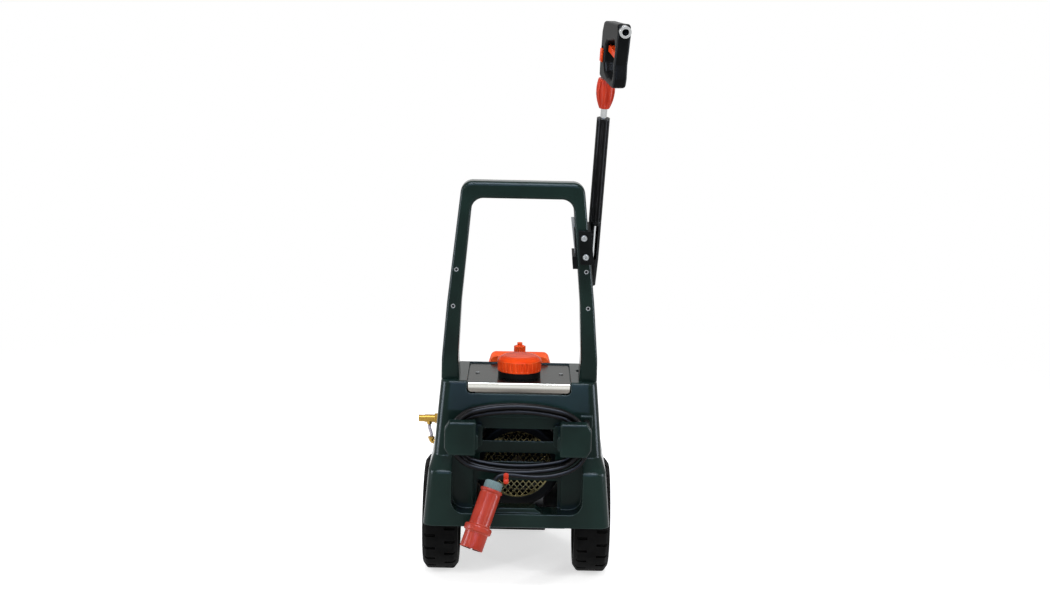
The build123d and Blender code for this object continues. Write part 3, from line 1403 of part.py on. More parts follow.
def coil_layer(quarter):
    """Back layer first, then half a turn to climb to each next layer."""
    depth = COIL_BACK_LAYER
    for layer in range(1, COIL_LAYERS):
        reversal = COIL_FIRST + layer * COIL_LAYER_QUARTERS
        depth -= COIL_LAYER_DEPTH * min(max(quarter - reversal + 1, 0), 2) / 2
    return depth


def coil_corner(quarter):
    """Point and heading at the top, right, bottom or left of a turn."""
    heading = ((1, 0, 0), (0, 0, -1), (-1, 0, 0), (0, 0, 1))[quarter % 4]
    side = ((0, 1), (1, 0), (0, -1), (-1, 0))[quarter % 4]
    inset = coil_inset(quarter)
    point = Vector(side[0] * (COIL_HALF_WIDTH - inset), coil_layer(quarter),
                   COIL_CENTRE + side[1] * (COIL_HALF_HEIGHT - inset))
    return point, Vector(*heading)


def coil_ratio(half_width, half_height):
    """Reach of the flat arc over that of the end arc, so that every turn's joint has the same slope."""
    slope = math.radians(COIL_SHOULDER)
    cut = (1 - math.sin(slope)) / math.cos(slope)
    flat_radius = (half_width - half_height * cut) / (math.sin(slope) - (1 - math.cos(slope)) * cut)
    end_radius = (half_height - flat_radius * (1 - math.cos(slope))) / math.cos(slope)
    return flat_radius * math.tan(slope / 2) / (end_radius * math.tan(math.pi / 4 - slope / 2))


def biarc(start, start_way, end, end_way, ratio):
    """Two arcs, tangent to each other, from one point and heading to another."""
    chord = end - start
    bend = 2 * ratio * (1 - start_way.dot(end_way))
    along = ratio * chord.dot(start_way) + chord.dot(end_way)
    reach = (math.sqrt(along ** 2 + bend * chord.dot(chord)) - along) / bend
    first = start + start_way * (ratio * reach)
    last = end - end_way * reach
    joint = (first + last * ratio) * (1 / (1 + ratio))
    return [TangentArc(start, joint, tangent=start_way), TangentArc(joint, end, tangent=last - first)]


def coil_path():
    arcs = []
    for quarter in range(COIL_FIRST, COIL_FIRST + COIL_LAYERS * COIL_LAYER_QUARTERS):
        start, start_way = coil_corner(quarter)
        end, end_way = coil_corner(quarter + 1)
        half_width = max(abs(start.X), abs(end.X))
        half_height = max(abs(start.Z - COIL_CENTRE), abs(end.Z - COIL_CENTRE))
        ratio = coil_ratio(half_width, half_height)
        arcs += biarc(start, start_way, end, end_way, 1 / ratio if quarter % 2 else ratio)
    return Wire([arc.edge() for arc in arcs])


def least_gap(path, diameter):
    """Least distance from the coil's surface to itself, on points along its path."""
    count = int(path.length / (diameter / 4))
    points = [path @ (index / count) for index in range(count + 1)]
    apart = int(3 * math.pi * diameter / (path.length / count))
    pairs = ((first, other) for first in range(count + 1) for other in range(first + apart, count + 1))
    return min((points[first] - points[other]).length for first, other in pairs) - diameter


def volume_share(tube, path):
    """A tube's volume over its section times its length."""
    return tube.volume / (path.length * math.pi * CORD_DIAMETER ** 2 / 4)


def cord_coil():
    path = coil_path()
    coil = round_sweep(path, CORD_DIAMETER)
    gap = least_gap(path, CORD_DIAMETER)
    share = volume_share(coil, path)
    print(f"cord coil: {path.length:.0f} mm long, least gap {gap:.2f} mm, {share:.4f} of its volume")
    if gap < CORD_GAP_LIMIT:
        print("cord coil: the turns are too close")
    return coil


def route_radii(points):
    """The largest arc that each corner's two runs allow."""
    radii = []
    for before, corner, after in zip(points, points[1:], points[2:]):
        run_in = Vector(*corner) - Vector(*before)
        run_out = Vector(*after) - Vector(*corner)
        turn = math.radians(run_in.get_angle(run_out))
        radii.append(ARC_SHARE * min(run_in.length, run_out.length) / math.tan(turn / 2))
    return radii


def cord_tail():
    radii = route_radii(TAIL_ROUTE)
    path = FilletPolyline(*TAIL_ROUTE, radius=radii)
    tail = round_sweep(path, CORD_DIAMETER)
    print("cord tail radii:", [round(radius) for radius in radii])
    print(f"cord tail: {path.length:.0f} mm long, {volume_share(tail, path):.4f} of its volume")
    return tail


def gland_place():
    """Where the cord comes out of the wall, above the coil's start."""
    start = coil_corner(COIL_FIRST)[0]
    return start.X, start.Z + GLAND_OFFSET


def gland_seat():
    half = GLAND_SEAT_SIZE / 2
    x, height = gland_place()
    return block((x - half, x + half), (GLAND_SEAT, GLAND_SEAT + 3 * WALL), (height - half, height + half))


def cable_gland():
    """Elbow strain relief that turns the cord down along the wall."""
    x, height = gland_place()
    start = coil_corner(COIL_FIRST)[0]
    bend = GLAND_DIAMETER / 2 + GLAND_INNER_BEND
    taper_start = (x, start.Y, height - 2 * bend)
    path = FilletPolyline((x, GLAND_SEAT + 5 * WALL, height), (x, start.Y, height), taper_start, radius=bend)
    taper = rod(taper_start, (start.X, start.Y, start.Z), GLAND_DIAMETER, GLAND_TIP_DIAMETER)
    return round_sweep(path, GLAND_DIAMETER) + taper


def cord_clip():
    """Orange clip round the tail where it nears the plug, with an eye below."""
    run_end, run_start = (Vector(*point) for point in TAIL_ROUTE[CLIP_RUN:CLIP_RUN + 2])
    middle = run_end + (run_start - run_end) * CLIP_SHARE
    inner = CORD_DIAMETER / 2 + LOOSE_GAP
    outer = inner + CLIP_THICKNESS
    ring = Circle(outer) - Circle(inner)
    far = 3 * outer
    mouth = make_face(Polyline((0, 0), (-far, far), (far, far), (far, -2 * outer), close=True))
    hook = ring - mouth
    eye_drop = outer + CLIP_EYE_DIAMETER / 2 - CLIP_THICKNESS
    hook += Pos(-outer / 2, -eye_drop) * (Circle(CLIP_EYE_DIAMETER / 2) - Circle(CLIP_EYE_HOLE / 2))
    place = Plane(origin=middle, x_dir=(0, 1, 0), z_dir=run_end - run_start)
    return place * extrude(hook, CLIP_WIDTH / 2, both=True)


# Plug on the cord's end: lengths run along the plug from the cord
def plug_rod(start, end, diameter):
    return rod((0, 0, start), (0, 0, end), diameter)


def plug_gland_nut():
    nut = plug_rod(0, PLUG_NUT_LENGTH, PLUG_NUT_DIAMETER)
    nut = chamfer(level_edges(nut, 0), PLUG_NUT_LENGTH / 6)
    rib_space = rod((PLUG_NUT_DIAMETER / 2, 0, 0), (PLUG_NUT_DIAMETER / 2, 0, PLUG_NUT_LENGTH), WALL / 2)
    nut -= [Rot(0, 0, 360 * count / PLUG_NUT_RIBS) * rib_space for count in range(PLUG_NUT_RIBS)]
    return PLUG_LINE * nut


def plug_levels():
    ring = PLUG_NUT_LENGTH + PLUG_RING_LENGTH
    body = ring + PLUG_BODY_LENGTH
    collar = body + PLUG_COLLAR_LENGTH
    return ring, body, collar, collar + PLUG_SLEEVE_LENGTH


def plug_housing():
    ring, body, collar, end = plug_levels()
    shell = plug_rod(PLUG_NUT_LENGTH, ring, PLUG_RING_DIAMETER) + plug_rod(ring, body, PLUG_BODY_DIAMETER)
    shell += plug_rod(body, collar, PLUG_COLLAR_DIAMETER) + plug_rod(collar, end, PLUG_SLEEVE_DIAMETER)
    shell -= plug_rod(collar - WALL, end, PLUG_SLEEVE_DIAMETER - 2 * PLUG_SLEEVE_WALL)
    keyway_floor = -PLUG_SLEEVE_DIAMETER / 2 + 2 * PLUG_SLEEVE_WALL
    half = PLUG_KEYWAY_WIDTH / 2
    keyway_start = end - PLUG_KEYWAY_LENGTH
    shell -= block((-half, half), (-PLUG_SLEEVE_DIAMETER, keyway_floor), (keyway_start, end + WALL))
    for x, y in plug_pin_places():
        shell -= rod((x, y, collar - WALL - PLUG_PIN_DIAMETER), (x, y, end), PLUG_PIN_DIAMETER)
    return PLUG_LINE * shell


def plug_pin_places():
    spots = []
    for count in range(PLUG_PINS):
        angle = 2 * math.pi * (count + 0.5) / PLUG_PINS
        spots.append((PLUG_PIN_CIRCLE / 2 * math.cos(angle), PLUG_PIN_CIRCLE / 2 * math.sin(angle)))
    return spots


def plug_pins():
    start = plug_levels()[2] - WALL - PLUG_PIN_DIAMETER
    return [PLUG_LINE * rod((x, y, start), (x, y, start + PLUG_PIN_LENGTH), PLUG_PIN_DIAMETER)
            for x, y in plug_pin_places()]


# Lance and its holder
def lance_rod(start, end, diameter, end_diameter=None):
    return rod((0, 0, start), (0, 0, end), diameter, end_diameter)


def lance_tube():
    start = LANCE_TIP + NOZZLE_LENGTH / 2
    end = GUN_START + GUN_SOCKET
    return LANCE_LINE * (lance_rod(start, end, LANCE_TUBE_DIAMETER) - lance_rod(start, end, LANCE_TUBE_BORE))


def lance_nozzle():
    body = lance_rod(LANCE_TIP, LANCE_TIP + NOZZLE_LENGTH, NOZZLE_DIAMETER)
    body = chamfer(level_edges(body, LANCE_TIP), NOZZLE_DIAMETER / 6)
    body -= lance_rod(LANCE_TIP + NOZZLE_LENGTH / 2, LANCE_TIP + NOZZLE_LENGTH, LANCE_TUBE_DIAMETER)
    return LANCE_LINE * (body - lance_rod(LANCE_TIP - WALL, LANCE_TIP + NOZZLE_LENGTH, NOZZLE_BORE))


def lance_grip():
    end = GRIP_START + GRIP_LENGTH
    grip = lance_rod(GRIP_START, end, GRIP_DIAMETER)
    flute_start = GRIP_START + GRIP_FLUTE_DIAMETER
    flute = upright(GRIP_DIAMETER / 2, 0, flute_start, end - GRIP_FLUTE_DIAMETER, GRIP_FLUTE_DIAMETER)
    grip -= [Rot(0, 0, 360 * count / GRIP_FLUTES) * flute for count in range(GRIP_FLUTES)]
    return LANCE_LINE * (grip - lance_rod(GRIP_START, end, LANCE_TUBE_DIAMETER))


def coupling_nut():
    """Barrel that swells towards the gun, with long flutes for the hand."""
    bottom = (NUT_BOTTOM_DIAMETER / 2, NUT_START)
    bulge = (NUT_BULGE_DIAMETER / 2, NUT_START + NUT_BULGE_HEIGHT)
    top = (NUT_TOP_DIAMETER / 2, GUN_START)
    sides = Polyline(top, (0, GUN_START), (0, NUT_START), bottom) + ThreePointArc(bottom, bulge, top)
    nut = revolve(Plane.XZ * make_face(sides), Axis.Z)
    flute_radius = NUT_FLUTE_DIAMETER / 2
    flute = rod((bottom[0] + flute_radius, 0, NUT_START),
                (bulge[0] + flute_radius - NUT_FLUTE_SINK, 0, bulge[1]), NUT_FLUTE_DIAMETER)
    flute += upright(bulge[0] + flute_radius - NUT_FLUTE_SINK, 0, bulge[1], GUN_START, NUT_FLUTE_DIAMETER)
    nut -= [Rot(0, 0, 360 * count / NUT_FLUTES) * flute for count in range(NUT_FLUTES)]
    return LANCE_LINE * (nut - lance_rod(NUT_START, GUN_START, LANCE_TUBE_DIAMETER + 2 * RUNNING_FIT))


def arm_edge(halves, along):
    """Half width of the handle's outline at a distance along the arm."""
    height = along * ARM_REAR.y_dir.Z
    levels = (0, HANDLE_KNEE, HANDLE_WAIST, HANDLE_HEIGHT)
    for index in range(3):
        if height <= levels[index + 1]:
            share = (height - levels[index]) / (levels[index + 1] - levels[index])
            return halves[index] + (halves[index + 1] - halves[index]) * share
    return halves[3]


def arm_slab(low, high, left, right, back, front):
    """A slab across the right arm, slanted with it; left and right are an outline and a margin from it."""
    corners = ((left, low), (right, low), (right, high), (left, high))
    points = [(arm_edge(halves, along) + margin, along) for (halves, margin), along in corners]
    slab = extrude(make_face(Polyline(*points, close=True)), front - back)
    return ARM_REAR * (Pos(0, 0, back) * slab)


def holder_screw_holes(diameter):
    start = HOLDER_PLATE - HOLDER_SCREW_LENGTH
    return [ARM_REAR * upright(x, along, start, HOLDER_PLATE, diameter) for x, along in HOLDER_SCREW_PLACES]


def holder_bracket():
    """Grey steel angle on the arm's inner side, with a fin that narrows downwards."""
    low = arm_edge(HANDLE_INSIDE, BRACKET_LOW)
    high = arm_edge(HANDLE_INSIDE, BRACKET_HIGH)
    points = ((low - BRACKET_FOOT, BRACKET_LOW), (low + HANDLE_EDGE, BRACKET_LOW),
              (high + HANDLE_EDGE, BRACKET_HIGH), (high - BRACKET_PROUD, BRACKET_HIGH))
    fin = extrude(make_face(Polyline(*points, close=True)), BRACKET_THICKNESS)
    strap_sides = ((HANDLE_INSIDE, -BRACKET_THICKNESS), (HANDLE_INSIDE, HANDLE_EDGE))
    strap = arm_slab(BRACKET_LOW, BRACKET_HIGH, *strap_sides, -LEG_DEPTH - BRACKET_FLANGE, -LEG_DEPTH)
    return strap + ARM_REAR * (Pos(0, 0, -LEG_DEPTH - BRACKET_THICKNESS) * fin) - handle_form()


def holder_clip():
    """Black moulding that wraps the arm and carries the lance in a channel on its outside."""
    outer_side = (HANDLE_OUTSIDE, HOLDER_WEB)
    plate = arm_slab(HOLDER_LOW, HOLDER_HIGH, (HANDLE_INSIDE, HOLDER_REVEAL), outer_side, 0, HOLDER_PLATE)
    inner_side = (HANDLE_OUTSIDE, -HANDLE_EDGE)
    web = arm_slab(HOLDER_LOW, HOLDER_HIGH, inner_side, outer_side, -HOLDER_DEPTH, HOLDER_PLATE)
    end = GRIP_START - FREE_GAP
    start = end - CHANNEL_LENGTH
    tip = start - CHANNEL_TAPER_LENGTH
    within = (HANDLE_INSIDE, HANDLE_EDGE)
    leg_side = (HANDLE_INSIDE, -LEG_THICKNESS)
    leg = arm_slab(HOLDER_LOW, HOLDER_HIGH, leg_side, within, -LEG_DEPTH, -HANDLE_EDGE)
    toe_side = (HANDLE_INSIDE, -LEG_THICKNESS - TOE_REACH)
    toe = arm_slab(TOE_LOW, TOE_HIGH, toe_side, within, -HOLDER_DEPTH, -HANDLE_EDGE)
    bridge = arm_slab(TOE_LOW, TOE_HIGH, within, outer_side, -HOLDER_DEPTH, HOLDER_BRIDGE - HOLDER_DEPTH)
    channel = lance_rod(start, end, CHANNEL_BORE + 2 * CHANNEL_WALL)
    channel += lance_rod(tip, start, CHANNEL_TAPER_DIAMETER, CHANNEL_BORE + 2 * CHANNEL_WALL)
    bore = lance_rod(start, end, CHANNEL_BORE) + lance_rod(tip, start, CHANNEL_TAPER_BORE)
    inner = -CHANNEL_BORE / 2
    mouth = block((inner, inner + CHANNEL_MOUTH), (-CHANNEL_BORE, 0), (start, end - CHANNEL_LINTEL))
    clip = plate + web + leg + toe + bridge + LANCE_LINE * channel - LANCE_LINE * (bore + mouth)
    clip = clip - handle_form() - holder_bracket()
    clip -= LANCE_LINE * lance_rod(end, end + GRIP_LENGTH, GRIP_DIAMETER + 2 * LOOSE_GAP)
    return clip - holder_screw_holes(HOLDER_SCREW_DIAMETER + 2 * FREE_GAP)


def holder_screws():
    screws = []
    for x, along in HOLDER_SCREW_PLACES:
        top = HOLDER_PLATE + HOLDER_HEAD_HEIGHT
        head = upright(x, along, HOLDER_PLATE, top, HOLDER_HEAD_DIAMETER)
        head = fillet(level_edges(head, top), HOLDER_HEAD_CROWN)
        head -= hexagon((x, along, top - HOLDER_HEAD_HEIGHT / 2), (x, along, top), SCREW_SOCKET)
        shank = upright(x, along, HOLDER_PLATE - HOLDER_SCREW_LENGTH, HOLDER_PLATE, HOLDER_SCREW_DIAMETER)
        screws.append(ARM_REAR * (head + shank))
    return screws


# Spray gun on the lance
def gun_face(points, corner):
    """A side outline of the gun, from points towards the user and along the lance."""
    return Plane.YZ * flat_outline([(-out, GUN_START + along) for out, along in points], corner)


def trigger_slot():
    out = [point[0] for point in TRIGGER_OUTLINE]
    along = [point[1] for point in TRIGGER_OUTLINE if point[0] < TRIGGER_PIVOT[0] + GUN_OPENING[0][0]]
    half = TRIGGER_THICKNESS / 2 + FREE_GAP
    return block((-half, half), (-GUN_OPENING[0][0] - 2 * TRIGGER_ROOM, -min(out) + TRIGGER_ROOM),
                 (GUN_START + min(along) - TRIGGER_ROOM, GUN_START + max(along) + TRIGGER_ROOM))


def trigger_pin(half, diameter):
    out, along = TRIGGER_PIVOT
    return rod((-half, -out, GUN_START + along), (half, -out, GUN_START + along), diameter)


def gun_ring(diameter):
    height = GUN_START + INLET_RING_HEIGHT
    return rod((0, -INLET_RING_START, height), (0, -INLET_RING_START - INLET_RING_LENGTH, height), diameter)


def latch_block(x, gap, travel):
    half = LATCH_WIDTH / 2 + gap
    start = GUN_START + LATCH_START
    return block(x, (-half, half), (start - gap, start + LATCH_LENGTH + travel + gap))


def gun_body():
    half = GUN_THICKNESS / 2
    body = extrude(gun_face(GUN_OUTLINE, GUN_CORNER) - gun_face(GUN_OPENING, GUN_CORNER), half, both=True)
    rims = [edge for edge in body.edges() if abs(abs(edge.center().X) - half) < 0.01]
    body = fillet(rims, GUN_EDGE)
    body -= lance_rod(GUN_START, GUN_START + GUN_SOCKET, LANCE_TUBE_DIAMETER)
    body -= trigger_slot()
    body += trigger_pin(half - GUN_EDGE, TRIGGER_PIN_DIAMETER)
    body -= latch_block((-GUN_THICKNESS, -half + LATCH_DEPTH), FREE_GAP, LATCH_TRAVEL)
    return LANCE_LINE * (body - gun_ring(INLET_RING_DIAMETER))


def gun_inlet():
    return LANCE_LINE * (gun_ring(INLET_RING_DIAMETER) - gun_ring(INLET_RING_BORE))


def gun_trigger():
    lever = extrude(gun_face(TRIGGER_OUTLINE, TRIGGER_CORNER), TRIGGER_THICKNESS / 2, both=True)
    return LANCE_LINE * (lever - trigger_pin(GUN_THICKNESS, TRIGGER_PIN_DIAMETER + 2 * RUNNING_FIT))


def gun_latch():
    outside = -GUN_THICKNESS / 2 + LATCH_DEPTH - FREE_GAP
    slider = latch_block((outside - LATCH_HEIGHT, outside), 0, 0)
    return LANCE_LINE * fillet(slider.faces().sort_by(Axis.X)[0].edges(), LATCH_DEPTH / 2)


# Every piece, by the name of its node
def pieces():
    return {
        "chassis_shell": chassis_shell(),
        "handle_arch": handle_arch(),
        "handle_inserts": handle_inserts(),
        "handle_bolts": handle_bolts(),
        "front_cover": front_cover(),
        "panel_screws": cover_screws() + plate_screws(),
        "base_tray": base_tray(),
        "front_foot": front_foot(),
        "axle": axle(),
        "hub_caps": hub_caps(),
        "left_tyre": tyre(-1),
        "left_rim": rim(-1),
        "left_bushes": bushes(-1),
        "right_tyre": tyre(1),
        "right_rim": rim(1),
        "right_bushes": bushes(1),
        "motor_housing": motor_housing(),
        "motor_stator": motor_stator(),
        "motor_bearings": motor_bearings(),
        "motor_rotor": motor_rotor(),
        "cooling_fan": cooling_fan(),
        "fan_cowl": fan_cowl(),
        "fan_guard": fan_guard(),
        "pump_crankcase": pump_crankcase(),
        "swash_plate": swash_plate(),
        "pump_plungers": pump_plungers(),
        "pump_head": pump_head(),
        "unloader_valve": unloader_valve(),
        "water_inlet": water_inlet(),
        "outlet_injector": outlet_injector(),
        "suction_hose": suction_hose(),
        "hose_valve": hose_valve(),
        "top_plate": top_plate(),
        "detergent_tank": detergent_tank(),
        "tank_neck_ring": tank_neck_ring(),
        "cap_seal": cap_seal(),
        "tank_cap": tank_cap(),
        "control_hood": control_hood(),
        "pressure_knob": pressure_knob(),
        "switch_knob": switch_knob(),
        "left_cord_hook": cord_hook(-1),
        "right_cord_hook": cord_hook(1),
        "cable_gland": cable_gland(),
        "cord_coil": cord_coil(),
        "cord_tail": cord_tail(),
        "cord_clip": cord_clip(),
        "plug_gland_nut": plug_gland_nut(),
        "plug_housing": plug_housing(),
        "plug_pins": plug_pins(),
        "holder_bracket": holder_bracket(),
        "holder_clip": holder_clip(),
        "holder_screws": holder_screws(),
        "lance_tube": lance_tube(),
        "lance_grip": lance_grip(),
        "lance_nozzle": lance_nozzle(),
        "coupling_nut": coupling_nut(),
        "gun_body": gun_body(),
        "gun_inlet": gun_inlet(),
        "gun_trigger": gun_trigger(),
        "gun_latch": gun_latch(),
    }


def save(name, shape):
    """Write one piece, or a group of like pieces, about the origin."""
    solids = shape if isinstance(shape, list) else [shape]
    moved = [Pos(-ORIGIN_X, -ORIGIN_Y, 0) * solid for solid in solids]
    export_step(moved[0] if len(moved) == 1 else Compound(children=moved), f"parts/{name}.step")


os.makedirs("parts", exist_ok=True)
for name, shape in pieces().items():
    save(name, shape)
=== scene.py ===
# %% [markdown]
# Cold water pressure washer
#
# This file dresses a machine that was drawn in CAD. The CAD solids are already the right size and in the
# right place, so nothing here moves them. What is left to do is what an eye checks first: the finish of
# each surface, the mains lead as one winding spline, and the small forms that a mould or a tool leaves.

# %% Load the machine
import json
import math

import bmesh
import bpy
from mathutils import Matrix, Vector


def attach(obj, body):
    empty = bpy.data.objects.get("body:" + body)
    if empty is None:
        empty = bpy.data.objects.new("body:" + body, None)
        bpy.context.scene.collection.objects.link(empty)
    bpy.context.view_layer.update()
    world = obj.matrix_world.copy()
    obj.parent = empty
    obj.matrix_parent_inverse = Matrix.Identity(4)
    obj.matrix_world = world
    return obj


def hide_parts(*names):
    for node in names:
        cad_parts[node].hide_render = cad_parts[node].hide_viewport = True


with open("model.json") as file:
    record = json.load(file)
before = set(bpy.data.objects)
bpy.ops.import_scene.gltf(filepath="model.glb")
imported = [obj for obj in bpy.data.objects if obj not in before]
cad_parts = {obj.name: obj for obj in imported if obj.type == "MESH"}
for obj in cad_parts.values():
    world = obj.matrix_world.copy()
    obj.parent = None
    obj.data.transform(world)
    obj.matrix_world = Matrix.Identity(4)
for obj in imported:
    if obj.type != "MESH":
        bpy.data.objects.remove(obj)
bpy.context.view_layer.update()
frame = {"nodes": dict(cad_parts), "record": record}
NODES = frame["nodes"]

# %% [markdown]
# Two sets of axes
#
# The machine was laid out from its axle: X across, Y forwards from the axle, Z up from the floor, in
# millimetres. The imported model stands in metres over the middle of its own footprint. One small function
# goes from the first to the second, so every size below can be read as a real size on the machine.

# %% From the axle's millimetres to the scene's metres
MM = 0.001
AXLE_X = 15.2
AXLE_Y = -43.8


def place(x, y, z):
    """A point of the layout, in millimetres from the axle, as a point of the scene."""
    return Vector((x + AXLE_X, y + AXLE_Y, z)) * MM


print("the axle's middle stands at", [round(value, 4) for value in place(0, 0, 0)])

# %% [markdown]
# Camera
#
# The photographer stood behind the machine, with the camera just above the gun's end, and looked a little
# down. The picture leans by just over a degree. The focal length follows from how fast things shrink with
# distance. The camera is built from two directions, the way it looks and the way it leans.

# %% Camera at the photographer's place
PHOTO_WIDTH = 1050
SENSOR_WIDTH = 36
FOCAL_PIXELS = 1630.8
MIDDLE_PIXEL = 520.86
CAMERA_AT = place(0, -3600, 1300)
CAMERA_LOOKS_AT = place(0, 0, 636.6)
CAMERA_LEAN = math.radians(1.193)


def make_camera():
    """The photographer's camera: where it stands, where it looks and how far it leans."""
    data = bpy.data.cameras.new("camera")
    data.sensor_width = SENSOR_WIDTH
    data.lens = SENSOR_WIDTH * FOCAL_PIXELS / PHOTO_WIDTH
    data.shift_x = (PHOTO_WIDTH / 2 - MIDDLE_PIXEL) / PHOTO_WIDTH
    camera = bpy.data.objects.new("camera", data)
    bpy.context.scene.collection.objects.link(camera)
    forward = (CAMERA_LOOKS_AT - CAMERA_AT).normalized()
    level_right = Vector((1, 0, 0))
    level_up = level_right.cross(forward)
    right = level_right * math.cos(CAMERA_LEAN) + level_up * math.sin(CAMERA_LEAN)
    up = level_up * math.cos(CAMERA_LEAN) - level_right * math.sin(CAMERA_LEAN)
    turn = Matrix((right, up, -forward)).transposed().to_4x4()
    camera.matrix_world = Matrix.Translation(CAMERA_AT) @ turn
    bpy.context.scene.camera = camera
    return camera


camera = make_camera()
print("camera with a", round(camera.data.lens, 1), "mm lens")

# %% [markdown]
# Mains lead
#
# The real lead is 11 mm rubber cable, wound five turns round two hooks. A pile of rings would look right
# from one side only. This is one spline from the gland to the plug: it spirals inwards against the wall,
# climbs a layer in half a turn, spirals out again, and does both once more, so it lies four layers deep.
# Each turn is flat on top and round at the ends, because the cable lies across the gap and bends round the
# hooks.

# %% Mains lead: points of the coil
CORD_DIAMETER = 11
COIL_HALF_WIDTH = 150
COIL_HALF_HEIGHT = 81
COIL_CENTRE = 345
COIL_STEP = 12.9
COIL_FIRST = 1
COIL_LAYERS = 4
COIL_LAYER_QUARTERS = 5
COIL_LAYER_DEPTH = 11.5
COIL_BACK_Y = -133
COIL_SHOULDER = math.radians(13)
FLAT_STEPS = 2
END_STEPS = 4
QUARTERS = 4
QUARTER_TURN = math.pi / 2


def coil_inset(quarter):
    """How far the lead lies inside the outermost turn: in, out, in and out again."""
    wound = (quarter - COIL_FIRST) % (2 * COIL_LAYER_QUARTERS)
    return min(wound, 2 * COIL_LAYER_QUARTERS - wound) * COIL_STEP / QUARTERS


def coil_layer(quarter):
    """Depth of the lead: along the wall first, then half a turn to climb to each next layer."""
    depth = COIL_BACK_Y
    for layer in range(1, COIL_LAYERS):
        reversal = COIL_FIRST + layer * COIL_LAYER_QUARTERS
        depth -= COIL_LAYER_DEPTH * min(max(quarter - reversal + 1, 0), 2) / 2
    return depth


def coil_point(quarter, lean):
    """A point of the coil: lean is the angle from the upright, up to a quarter turn."""
    half_width = COIL_HALF_WIDTH - coil_inset(quarter)
    half_height = COIL_HALF_HEIGHT - coil_inset(quarter)
    cut = (1 - math.sin(COIL_SHOULDER)) / math.cos(COIL_SHOULDER)
    flat_rise = 1 - math.cos(COIL_SHOULDER)
    flat_radius = (half_width - half_height * cut) / (math.sin(COIL_SHOULDER) - flat_rise * cut)
    end_radius = (half_height - flat_radius * flat_rise) / math.cos(COIL_SHOULDER)
    if lean < COIL_SHOULDER:
        across = flat_radius * math.sin(lean)
        rise = half_height - flat_radius * (1 - math.cos(lean))
    else:
        across = half_width - end_radius * (1 - math.sin(lean))
        rise = end_radius * math.cos(lean)
    side = 1 if quarter % QUARTERS < QUARTERS / 2 else -1
    over = 1 if (quarter + 1) % QUARTERS < QUARTERS / 2 else -1
    return place(side * across, coil_layer(quarter), COIL_CENTRE + over * rise)


def coil_points():
    """Quarters from upright to level take the leans upwards, the others downwards."""
    flat = [COIL_SHOULDER * step / FLAT_STEPS for step in range(FLAT_STEPS)]
    end = QUARTER_TURN - COIL_SHOULDER
    leans = flat + [COIL_SHOULDER + end * step / END_STEPS for step in range(END_STEPS)]
    points = []
    for quarter in range(COIL_FIRST, COIL_FIRST + COIL_LAYERS * COIL_LAYER_QUARTERS):
        if quarter % 2 == 0:
            points += [coil_point(quarter + lean / QUARTER_TURN, lean) for lean in leans]
        else:
            back = [QUARTER_TURN] + leans[:0:-1]
            points += [coil_point(quarter + 1 - lean / QUARTER_TURN, lean) for lean in back]
    return points


coil = coil_points()
turns = COIL_LAYERS * COIL_LAYER_QUARTERS / QUARTERS
print("coil:", turns, "turns,", round(len(coil) / turns), "points a turn")

# %% [markdown]
# Tail
#
# The lead's tail is short. It leaves the last turn, sags across the front of the coil and ends in the plug,
# so its points are listed one by one. The plug starts at the last point but one, and from there the cord
# runs on into the plug's gland.

# %% Mains lead: points of the tail
TAIL_POINTS = (
    (150, -167.5, 345),
    (150, -167.5, 320),
    (138.5, -169.5, 296),
    (113.5, -173.5, 280),
    (78, -177, 270),
    (44, -179, 267.5),
    (13, -180.5, 269.5),
    (-13, -181.8, 273),
    (-33, -183, 272.8),
    (-45.383, -184.273, 267.241),
    (-48.5, -188, 258.5),
    (-50.993, -190.981, 251.507),
)
print("tail:", len(TAIL_POINTS), "points")

# %% [markdown]
# Plug
#
# The plug is moulded round, with a raised ring, a thick collar and a thin sleeve, all with soft edges. A
# screw modifier could turn its outline. Here the rings of points are laid out one by one, which leaves room
# for the keyway that is cut through the sleeve.

# %% Plug housing
# How far along the plug and how far out from its middle, in millimetres.
PLUG_OUTLINE = (
    (18, 0), (18, 22.6), (18.8, 23.8), (20, 24.5), (23, 24.5), (24.2, 23.8), (25, 22.6),
    (26, 21.8), (27.4, 21.8), (28.4, 22.8), (29.5, 23), (98, 23), (99.4, 23.4), (100.2, 24.6),
    (101, 27.5), (102, 29.4), (103.8, 30.4), (106, 30.5), (111, 30.5), (113.2, 30.4), (115, 29.4),
    (116, 27.5), (116.4, 25.8), (117.5, 25.5),
    (138, 25.5), (152, 25.5), (152.7, 25.2), (153, 24.6), (153, 23.4), (152.7, 22.8), (152, 22.5),
    (138, 22.5), (113, 22.5), (113, 0),
)
PLUG_STEPS = 72
# The rows of the outline and the steps round it that the keyway takes out, and the first row inside,
# where the black begins that paints the shade in the sleeve.
KEYWAY_ROWS = range(24, 31)
KEYWAY_STEPS = (53, 54)
INSIDE_SHADE_ROW = 29
SHARP_EDGE = math.radians(40)


def as_object(mesh, name):
    """A finished mesh as a new object, smooth but for its sharp edges."""
    bmesh.ops.recalc_face_normals(mesh, faces=mesh.faces)
    data = bpy.data.meshes.new(name)
    mesh.to_mesh(data)
    mesh.free()
    data.shade_smooth()
    data.set_sharp_from_angle(angle=SHARP_EDGE)
    piece = bpy.data.objects.new(name, data)
    bpy.context.scene.collection.objects.link(piece)
    return piece


def ring_of_points(mesh, centre, across, radius):
    """Points round a centre, or one point where the radius is nought."""
    if radius == 0:
        return [mesh.verts.new(centre)] * PLUG_STEPS
    ring = []
    for step in range(PLUG_STEPS):
        turn = 2 * math.pi * step / PLUG_STEPS
        out = across[0] * math.cos(turn) + across[1] * math.sin(turn)
        ring.append(mesh.verts.new(centre + out * radius * MM))
    return ring


